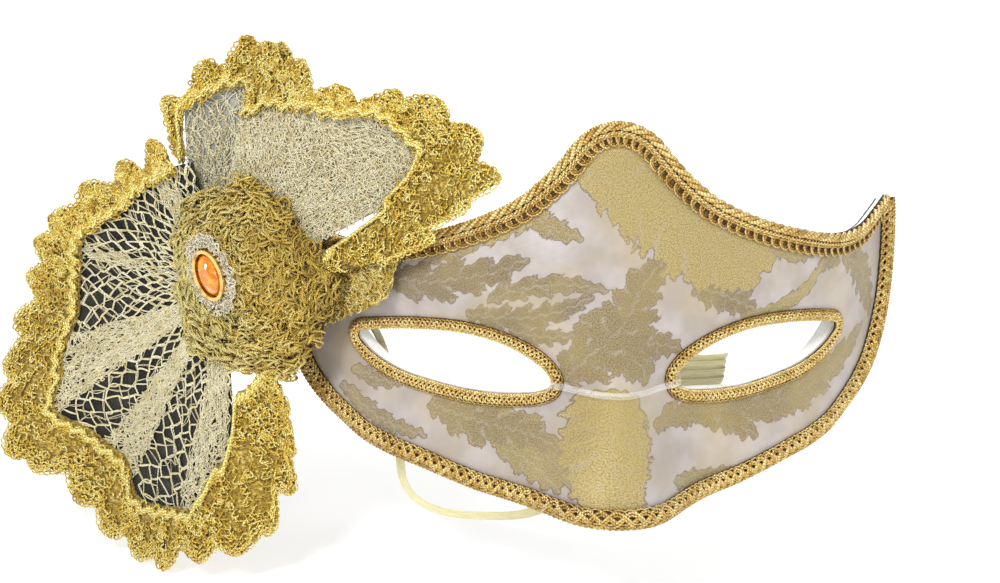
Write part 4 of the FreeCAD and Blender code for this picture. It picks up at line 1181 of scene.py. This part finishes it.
def lace_group(name, start_table, table, lift, seed, replaced):
    """A scalloped border of embroidered lace: close ground, loose loops, rim cord, wavy inner rope."""
    generator = np.random.default_rng(seed)
    degrees, rim, travel, phase = scallop_rim(table)
    inner = radius_at(start_table, degrees)
    tooth = 0.55 * np.sin(phase * TAU * 4.0) + 0.35 * np.sin(phase * TAU * 7.3 + 1)
    span = np.maximum(rim - inner, 1.0)

    def at(u, v, offset):
        d = np.interp(u, np.linspace(0, 1, len(degrees)), degrees)
        r_in, r_out = np.interp(d, degrees, inner), np.interp(d, degrees, rim + 0.4 * tooth)
        r = r_in + (r_out - r_in) * v
        ridge = 0.35 * np.sin(r * 2.1 + 5 * np.sin(np.radians(d) * 9)) * np.sin(np.radians(d) * r * 1.9)
        return fan_point(d, r, offset + ridge)

    # dark ground under the loops: partly painted shade in the gaps between them
    ground = Mesh()
    two_faced(ground, at, lift, lift + 0.8, 700, 16, lambda u, v: np.stack([u, v, np.zeros_like(u)], -1))
    backing = ground.build(name + "_ground", GOLD_GROUND, "gold_lace", (replaced,))

    threads = Mesh()
    # loose loops all over the band
    area = float(np.trapz((rim ** 2 - inner ** 2) / 2, np.radians(degrees)))
    count = int(area * LOOPS_PER_MM2)
    pick = generator.uniform(0, 1, count)
    d = np.interp(pick, np.linspace(0, 1, len(degrees)), degrees)
    v = generator.uniform(0.02, 0.95, count) ** 0.9
    r = np.interp(d, degrees, inner) + np.interp(d, degrees, span) * v
    turn0, sweep = generator.uniform(0, TAU, count), generator.uniform(2.6, 5.6, count)
    ring = generator.uniform(0.55, 1.35, count)
    share = np.linspace(0, 1, 10)[None]
    angle = turn0[:, None] + sweep[:, None] * share
    size = ring[:, None] * (1 + 0.25 * np.sin(3 * angle))
    radius = r[:, None] + size * np.sin(angle)
    loop_degrees = d[:, None] + np.degrees(size * np.cos(angle) / np.maximum(r[:, None], 10))
    rise = lift + 1.0 + generator.uniform(0, 0.6, (count, 1)) + 0.4 * np.sin(np.pi * share)
    taper = 0.16 + 0.12 * np.sin(np.pi * share)
    threads.tubes(fan_point(loop_degrees, radius, rise), taper * generator.uniform(0.8, 1.4, (count, 1)),
                  FAN_FRONT,
                  sides=5, tone=generator.uniform(0, 1, count))

    # picot loops round the rim
    rim_count = int(travel[-1] / 1.15)
    u = (np.arange(rim_count) + 0.5) / rim_count
    rim_d = np.interp(u * travel[-1], travel, degrees)
    rim_r = np.interp(rim_d, degrees, rim)
    angle = np.linspace(0, TAU * 1.1, 14)[None] + generator.uniform(0, TAU, (rim_count, 1))
    size = generator.uniform(0.6, 1.15, (rim_count, 1))
    radius = rim_r[:, None] - 0.2 + size * np.sin(angle)
    picot_degrees = rim_d[:, None] + np.degrees(size * np.cos(angle) / rim_r[:, None])
    rise = lift + 0.8 + generator.uniform(-0.3, 0.7, (rim_count, 1)) + 0.2 * np.sin(2 * angle)
    threads.tubes(fan_point(picot_degrees, radius, rise), 0.26, FAN_FRONT, sides=6,
                  tone=generator.uniform(0.2, 1, rim_count))

    # stitched arcs that follow each scallop
    for inset, thread in ((1.6, 0.34), (3.0, 0.3), (4.6, 0.3)):
        arc_r = np.maximum(rim - inset - 0.5 * np.sin(phase * TAU * 5), inner + 0.4)
        path = fan_point(degrees, arc_r, lift + 1.3 + 0.35 * np.sin(phase * TAU * 9))
        threads.tubes(path[None], thread, FAN_FRONT, sides=6, tone=np.array([0.6]))

    # the wavy rope beside the net
    fine = np.linspace(0, travel[-1], int(travel[-1] / 0.35))
    rope_d = np.interp(fine, travel, degrees)
    rope_r = np.interp(rope_d, degrees, inner) + 1.7 + 0.8 * np.sin(TAU * fine / 6.5)
    for row, (gap, thickness) in enumerate(((0.0, 0.42), (1.15, 0.34))):
        for ply in range(2):
            twist = TAU * fine / 2.4 + np.pi * ply
            path = fan_point(rope_d, rope_r + gap + 0.38 * np.cos(twist),
                             lift + 1.75 + 0.38 * np.sin(twist) - 0.3 * row)
            threads.tubes(path[None], thickness, FAN_FRONT, sides=6, tone=np.array([1.0 - 0.4 * row]))
    piece = threads.build(name, GOLD_LACE, "gold_lace", (replaced,))
    return piece, backing


fan_groups = (
    ("upper_fan", UPPER_NET, UPPER_LACE_START, UPPER_LACE, 0.0, PALE_ORGANZA, "pale_organza", 11),
    ("crest_fan", CREST_NET, CREST_LACE_START, CREST_LACE, -CREST_SETBACK, GREY_ORGANZA, "dark_organza", 23),
    ("lower_fan", LOWER_NET, LOWER_LACE_START, LOWER_LACE, 0.0, DARK_ORGANZA, "dark_organza", 37),
)
for name, net_table, start_table, lace_table, setback, cloth, cloth_slot, seed in fan_groups:
    under = Mesh()
    fan_sheet(under, net_table, setback, setback + 0.3, 260, 40, seed, 0.5)
    underlay = under.build(f"{name}_cloth", cloth, cloth_slot, (f"{name}_underlay",))

    net = Mesh()
    lift = setback + NET_LIFT
    if name == "lower_fan":
        net_threads(net, net_table, 3.3, 1.05, seed, 0.10, lift, 0.24, 0.22)
        net_threads(net, net_table, 4.6, 1.4, seed + 5, 0.2, lift + 0.15, 0.11, 0.4)
        for first, last, cell in ((201, 217, 1.2), (231, 240, 1.1), (258, 271, 1.7), (116, 128, 1.7),
                                  (168, 174, 1.8)):
            fold = table_between(net_table, first, last)
            for layer in range(2):
                net_threads(net, fold, cell, 1.9, seed + first + layer, 0.3, lift + 0.25 + 0.15 * layer,
                            0.13, 0.35)
            fold_threads(net, first, last, 20, net_table, round(2.2 * (last - first)), seed + first,
                         lift + 0.3, 0.11)
    elif name == "crest_fan":
        net_threads(net, net_table, 2.4, 1.3, seed, 0.2, lift, 0.15, 0.3)
        net_threads(net, net_table, 3.0, 1.5, seed + 5, 0.25, lift + 0.2, 0.12, 0.4)
        fold_threads(net, 71, 109, 24, net_table, 40, seed + 1, lift + 0.2, 0.11, 4.0)
    else:
        for layer in range(3):
            net_threads(net, net_table, 1.7 + 0.3 * layer, 1.0, seed + 7 * layer, 0.3, lift + 0.15 * layer,
                        0.12, 0.4)
        fold_threads(net, 31, 83, 16, net_table, 50, seed + 1, lift + 0.3, 0.11, 6.0)
    net_piece = net.build(f"{name}_netting", NET_THREAD, "gold_net", (f"{name}_net",))
    lace, lace_backing = lace_group(f"{name}_border", start_table, lace_table, setback + LACE_LIFT, seed,
                                    f"{name}_lace")


# ---------------------------------------------------------------- rosette, temple spray and knot
def scatter_curls(mesh, spots, normals, generator, size, thread, tone=None, upright=(-0.3, 1.3)):
    """Short curled threads standing about on a surface."""
    count = len(spots)
    spin = unit(np.cross(normals, unit(generator.normal(0, 1, (count, 3)))))
    other = unit(np.cross(normals, spin) + normals * generator.uniform(*upright, (count, 1)))
    share = np.linspace(0, 1, 9)[None]
    angle = generator.uniform(2.2, 5.4, (count, 1)) * share + generator.uniform(0, TAU, (count, 1))
    ring = generator.uniform(*size, (count, 1))
    tip = generator.uniform(-0.6, 1.0, (count, 1))
    paths = (spots[:, None] + spin[:, None] * (ring * np.cos(angle))[..., None]
             + other[:, None] * (ring * np.sin(angle))[..., None]
             + normals[:, None] * (0.6 + ring * 0.5 * tip * np.sin(angle + 1))[..., None])
    width = thread * (0.45 + 0.55 * np.sin(np.pi * share)) * generator.uniform(0.75, 1.35, (count, 1))
    spread = generator.uniform(0, 1, count)
    mesh.tubes(paths, width, unit(normals + 0.3 * spin)[:, None], sides=5,
               tone=spread if tone is None else np.clip(tone + 0.45 * (spread - 0.5), 0, 1))


# width in mm of the raised seat that the rosette makes for the gem, and how many curls each lace has
GEM_MOUND = 7.5
ROSETTE_CURLS, SPRAY_CURLS, COLLAR_CURLS = 3900, 2400, 240
# the rosette's outline about its middle: degrees and radius
ROSETTE_OUTLINE = [(0, 24.5), (25, 21.5), (58, 22.5), (85, 26), (110, 28.5), (137, 28.5), (160, 24),
                   (196, 24.5),
                   (231, 27.5), (270, 26.5), (310, 25), (335, 24), (360, 24.5)]


def rosette_point(turn, reach, lift):
    """Point over the rosette's cushion: turn in radians, reach 0 to 1."""
    degrees = np.degrees(turn) % 360
    frill = 1.5 * np.sin(5 * turn + 0.7) + 1.1 * np.sin(11 * turn + 2) + 0.6 * np.sin(19 * turn)
    radius = (np.interp(degrees, *zip(*ROSETTE_OUTLINE)) + frill) * reach
    x, z = radius * np.cos(turn), radius * np.sin(turn)
    clumps = 1.7 * np.sin(0.42 * x + 1.3 + 0.2 * z) * np.sin(0.47 * z + 0.4) + 0.6 * np.sin(0.9 * x - 0.7 * z)
    from_gem = (x + ROSETTE_SHIFT[0] - GEM_SHIFT[0]) ** 2 + (z + ROSETTE_SHIFT[1] - GEM_SHIFT[1]) ** 2
    mound = np.exp(-from_gem / GEM_MOUND ** 2)
    dome = ROSETTE_HEIGHT * 0.42 * (1 - reach ** 3.5) + clumps * (1 - reach ** 4) * (1 - mound)
    dome = dome + (ROSETTE_HEIGHT - 0.6 - dome) * mound
    centre = HUB + FAN_RIGHT * ROSETTE_SHIFT[0] + FAN_UP * ROSETTE_SHIFT[1] + FAN_FRONT * FAN_FACE
    return (centre + FAN_RIGHT * (radius * np.cos(turn))[..., None]
            + FAN_UP * (radius * np.sin(turn))[..., None]
            + FAN_FRONT * (dome + lift)[..., None])


rosette_generator = np.random.default_rng(5)
# the rosette's dark ground: partly painted shade in the gaps between the curls
rosette_ground = Mesh()
turns, reaches = np.meshgrid(np.linspace(0, TAU, 180, endpoint=False), np.linspace(0.02, 1, 40),
                             indexing="ij")
ruffle = 0.9 * np.sin(9 * turns + 4 * reaches) * reaches + 0.5 * np.sin(17 * turns - 9 * reaches)
front_face = rosette_point(turns, reaches, ruffle - 0.6)
back_face = rosette_point(turns, reaches, np.zeros_like(turns))
back_face = back_face - FAN_FRONT * ((back_face - HUB) @ FAN_FRONT - FAN_FACE)[..., None]
guide = np.stack([turns, reaches, np.zeros_like(turns)], -1)
rosette_ground.grid(front_face, guide, close_u=True)
rosette_ground.grid(back_face, guide, close_u=True, flip=True)
rosette_base = rosette_ground.build("rosette_ground", BRONZE_GROUND, "bronze_lace", ("rosette_lace",))

curls = Mesh()
turn = rosette_generator.uniform(0, TAU, ROSETTE_CURLS)
reach = np.sqrt(rosette_generator.uniform(0.0, 1.0, ROSETTE_CURLS))
spots = rosette_point(turn, reach, 0.4 * np.sin(9 * turn + 4 * reach))
outward = unit(FAN_FRONT * (1.15 - reach)[:, None]
               + (spots - rosette_point(turn, reach * 0, 0 * turn)) / ROSETTE_RADIUS * 0.8)
# painted light: the curls' tone is lighter towards the rosette's left, the lit side, and a little lighter
# towards the bottom
lit_side_tone = np.clip(0.55 - 0.5 * np.cos(turn) * reach - 0.12 * np.sin(turn) * reach, 0, 1)
scatter_curls(curls, spots, outward, rosette_generator, (0.8, 2.3), 0.34, lit_side_tone)
# frilled rows of the gathered lace, spiralling round the gem
for row in range(4):
    sweep = np.linspace(0, TAU, 420, endpoint=False)
    reach_row = 0.34 + 0.19 * row + 0.05 * np.sin(7 * sweep + row) + 0.03 * np.sin(19 * sweep + 2 * row)
    frill = rosette_point(sweep, reach_row,
                          0.9 + 0.7 * np.sin(31 * sweep + 2 * row) + 0.3 * np.sin(53 * sweep))
    curls.tubes(frill[None], 0.3, FAN_FRONT, sides=6, tone=np.array([0.45 + 0.1 * (row % 3)]), closed=True)
curls.build("rosette", BRONZE_LACE, "bronze_lace", ("rosette_lace",))


def spray_point(u, v, lift):
    low, high = spline(SPRAY_LOWER, u), spline(SPRAY_UPPER, u)
    flat = low + (high - low) * np.asarray(v)[..., None]
    return mask_point(flat[..., 0], flat[..., 1], lift), mask_normal(flat[..., 0], flat[..., 1])


spray_generator = np.random.default_rng(8)
spray_ground = Mesh()


def spray_cloth(u, v, offset):
    wave = 0.35 * np.sin(u * 31 + 6 * v) + 0.25 * np.sin(v * 25 - 9 * u)
    return spray_point(u, v, offset + wave)[0]


# the spray's dark ground: partly painted shade in the gaps between the curls
two_faced(spray_ground, spray_cloth, SPRAY_BAND[0] + 0.4, SPRAY_BAND[0] + 1.2, 120, 60,
          lambda u, v: np.stack([u, v, np.zeros_like(u)], -1))
spray_ground.build("temple_spray_ground", BRONZE_GROUND, "bronze_lace", ("temple_lace",))
spray = Mesh()
u, v = spray_generator.uniform(0, 1, SPRAY_CURLS), spray_generator.uniform(0, 1, SPRAY_CURLS)
spots, outward = spray_point(u, v, SPRAY_BAND[0] + 1.1)
scatter_curls(spray, spots, outward, spray_generator, (0.8, 1.9), 0.32)
spray.build("temple_spray", BRONZE_LACE, "bronze_lace", ("temple_lace",))

knot = Mesh()
turns, shares = np.meshgrid(np.linspace(0, TAU, 120, endpoint=False), np.linspace(0, 1, 24), indexing="ij")
pinch = KNOT_RADIUS * (0.72 + 0.2 * (2 * shares - 1) ** 2 + 0.07 * np.sin(24 * turns + 3 * shares))
axis = (HUB - FAN_FRONT * CREST_SETBACK)[None, None] + FAN_FRONT * (shares * (CREST_SETBACK + 3.0))[..., None]
knot.grid(axis + FAN_RIGHT * (pinch * np.cos(turns))[..., None] + FAN_UP * (pinch * np.sin(turns))[..., None],
          np.stack([turns, shares, 0 * turns], -1), close_u=True)
for wrap in range(5):
    sweep = np.linspace(0, TAU, 90, endpoint=False)
    ring = KNOT_RADIUS * 0.78
    level = 0.4 * CREST_SETBACK + 0.5 * wrap
    binding = (HUB - FAN_FRONT * CREST_SETBACK + FAN_FRONT * level
               + FAN_RIGHT * (ring * np.cos(sweep))[:, None] + FAN_UP * (ring * np.sin(sweep))[:, None])
    knot.tubes(binding[None], 0.3, FAN_FRONT, sides=5, closed=True, tone=np.array([0.5]))
back_cap = np.stack([axis[:, 0], (axis + FAN_RIGHT * (pinch * np.cos(turns))[..., None]
                                  + FAN_UP * (pinch * np.sin(turns))[..., None])[:, 0]], 1)
knot.grid(back_cap, np.zeros(3), close_u=True)
knot.build("gathered_knot", CREAM_THREAD, "pale_organza", ("gather_knot",))

# ---------------------------------------------------------------- gem and its collar
GEM_BASE = (HUB + FAN_RIGHT * GEM_SHIFT[0] + FAN_UP * GEM_SHIFT[1]
            + FAN_FRONT * (FAN_FACE + ROSETTE_HEIGHT + 0.2))
GEM_ALONG = FAN_UP * math.cos(GEM_TILT) + FAN_RIGHT * math.sin(GEM_TILT)
GEM_ACROSS = np.cross(GEM_ALONG, FAN_FRONT)


def gem_point(turn, share, lift):
    """Point of the gem's plan: turn round it and share of its half size."""
    return (GEM_BASE + GEM_ALONG * (GEM_SIZE[0] / 2 * share * np.cos(turn))[..., None]
            + GEM_ACROSS * (GEM_SIZE[1] / 2 * share * np.sin(turn))[..., None]
            + FAN_FRONT * np.asarray(lift)[..., None])


gem = Mesh()
FACETS = 14
facet_turn = np.arange(FACETS) / FACETS * TAU
rings = [(1.0, -0.1, 0.0), (1.0, 0.9, 0.0), (0.86, 2.1, 0.5), (0.62, 3.1, 0.0), (0.42, 3.7, 0.5)]
gem_rings = np.stack([gem_point(facet_turn + step * TAU / FACETS, np.full(FACETS, share),
                                np.full(FACETS, lift))
                      for share, lift, step in rings], 1)
gem.grid(gem_rings, np.zeros(3), close_u=True)
table_ring = gem_rings[:, -1]
table_middle = np.broadcast_to(table_ring.mean(0), table_ring.shape)
gem.grid(np.stack([table_ring, table_middle], 1), np.zeros(3), close_u=True)
base_ring = gem_rings[:, 0]
gem.grid(np.stack([np.broadcast_to(base_ring.mean(0), base_ring.shape), base_ring], 1), np.zeros(3),
         close_u=True)
gem.build("amber_gem", AMBER, "amber_glass", ("gem_cabochon",), smooth=False)

collar = Mesh()
sweep = np.linspace(0, TAU, 700, endpoint=False)
for row in range(4):
    swell = 1.32 + 0.13 * row + 0.10 * np.sin(17 * sweep + 2 * row) + 0.05 * np.sin(5 * sweep)
    lift = 0.5 - 0.25 * row + 0.5 * np.sin(23 * sweep + 1.6 + row)
    collar.tubes(gem_point(sweep, swell, lift)[None], 0.32, FAN_FRONT, sides=6, closed=True,
                 tone=np.array([0.3 + 0.2 * row]))
collar_generator = np.random.default_rng(12)
turn = collar_generator.uniform(0, TAU, COLLAR_CURLS)
spots = gem_point(turn, collar_generator.uniform(1.3, 1.9, COLLAR_CURLS), np.full(COLLAR_CURLS, 0.5))
scatter_curls(collar, spots, np.broadcast_to(FAN_FRONT, spots.shape).copy(), collar_generator, (0.4, 0.9),
              0.17)
collar.build("gem_collar_lace", CREAM_THREAD, "cream_lace", ("gem_collar",))


# ---------------------------------------------------------------- felt pad and patches
def remeshed_copy(node, name, material, voxel, wobble, seed):
    """A soft copy of a CAD solid, evenly meshed and slightly uneven."""
    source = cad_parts[node]
    data = source.data.copy()
    data.materials.clear()
    piece = bpy.data.objects.new(name, data)
    bpy.context.scene.collection.objects.link(piece)
    remesh = piece.modifiers.new("even", "REMESH")
    remesh.mode, remesh.voxel_size = "VOXEL", voxel * MM
    smooth = piece.modifiers.new("soft", "SMOOTH")
    smooth.factor, smooth.iterations = 0.6, 4
    graph = bpy.context.evaluated_depsgraph_get()
    mesh = bpy.data.meshes.new_from_object(piece.evaluated_get(graph))
    bpy.data.objects.remove(piece)
    co = np.array([v.co for v in mesh.vertices])
    generator = np.random.default_rng(seed)
    waves = generator.normal(0, 1, (5, 3)) * 900
    push = sum(np.sin(co @ w + k) for k, w in enumerate(waves)) / 5 * wobble * MM
    normals = np.array([v.normal for v in mesh.vertices])
    mesh.vertices.foreach_set("co", (co + normals * push[:, None]).astype(np.float32).ravel())
    mesh.shade_smooth()
    return place(bpy.data.objects.new(name, mesh), material, (node,))


felt_piece = remeshed_copy("felt_pad", "felt_block", FELT, 0.6, 0.12, 3)
left_patch = remeshed_copy("left_patch", "left_felt_disc", FELT, 0.22, 0.05, 4)
right_patch = remeshed_copy("right_patch", "right_felt_disc", FELT, 0.22, 0.05, 6)

# ---------------------------------------------------------------- stage and light
FLOOR_HEIGHT = cad_box[0].z - 0.002
FLOOR_GLOW, WORLD_GLOW = 0.22, 0.5
KEY_POWER, FILL_POWER, RIM_POWER = 8.5, 3.0, 4.0
floor_paint = Paint("floor", 0.9, Emission_Color=(1, 1, 1, 1), Emission_Strength=FLOOR_GLOW)
floor_cloud = floor_paint.noise(floor_paint.object_place(), 3.0)
floor_paint.finish(Base_Color=floor_paint.mix(floor_cloud, (0.90, 0.90, 0.90), (0.93, 0.93, 0.93)))
sweep_profile = [(-1.6, 0.0), (0.9, 0.0), (1.15, 0.05), (1.33, 0.2), (1.4, 0.45), (1.4, 2.6)]
stage_mesh = bpy.data.meshes.new("floor")
stage_points = [(x, y, FLOOR_HEIGHT + z) for y, z in sweep_profile for x in (-3.0, 3.0)]
stage_mesh.from_pydata(stage_points, [],
                       [(2 * k, 2 * k + 1, 2 * k + 3, 2 * k + 2) for k in range(len(sweep_profile) - 1)])
stage_mesh.materials.append(floor_paint.material)
stage_mesh.shade_smooth()
floor = bpy.data.objects.new("floor", stage_mesh)
bpy.context.scene.collection.objects.link(floor)


def area_light(name, place_m, target, width, power):
    data = bpy.data.lights.new(name, "AREA")
    data.shape, data.size, data.energy = "DISK", width, power
    lamp = bpy.data.objects.new(name, data)
    bpy.context.scene.collection.objects.link(lamp)
    lamp.location = place_m
    lamp.rotation_mode = "QUATERNION"
    lamp.rotation_quaternion = (Vector(place_m) - Vector(target)).to_track_quat("Z", "Y")


MIDDLE = (-0.03, 0.02, 0.02)
area_light("key", (-0.45, -0.75, 0.75), MIDDLE, 0.3, KEY_POWER)
area_light("fill", (0.8, -0.6, 0.35), MIDDLE, 0.6, FILL_POWER)
area_light("back_rim", (0.1, 0.8, 0.7), MIDDLE, 0.5, RIM_POWER)

world = bpy.data.worlds.new("studio")
world.use_nodes = True
background = world.node_tree.nodes["Background"]
background.inputs["Color"].default_value = (1, 1, 1, 1)
background.inputs["Strength"].default_value = WORLD_GLOW
bpy.context.scene.world = world
bpy.context.scene.view_settings.view_transform = "Standard"
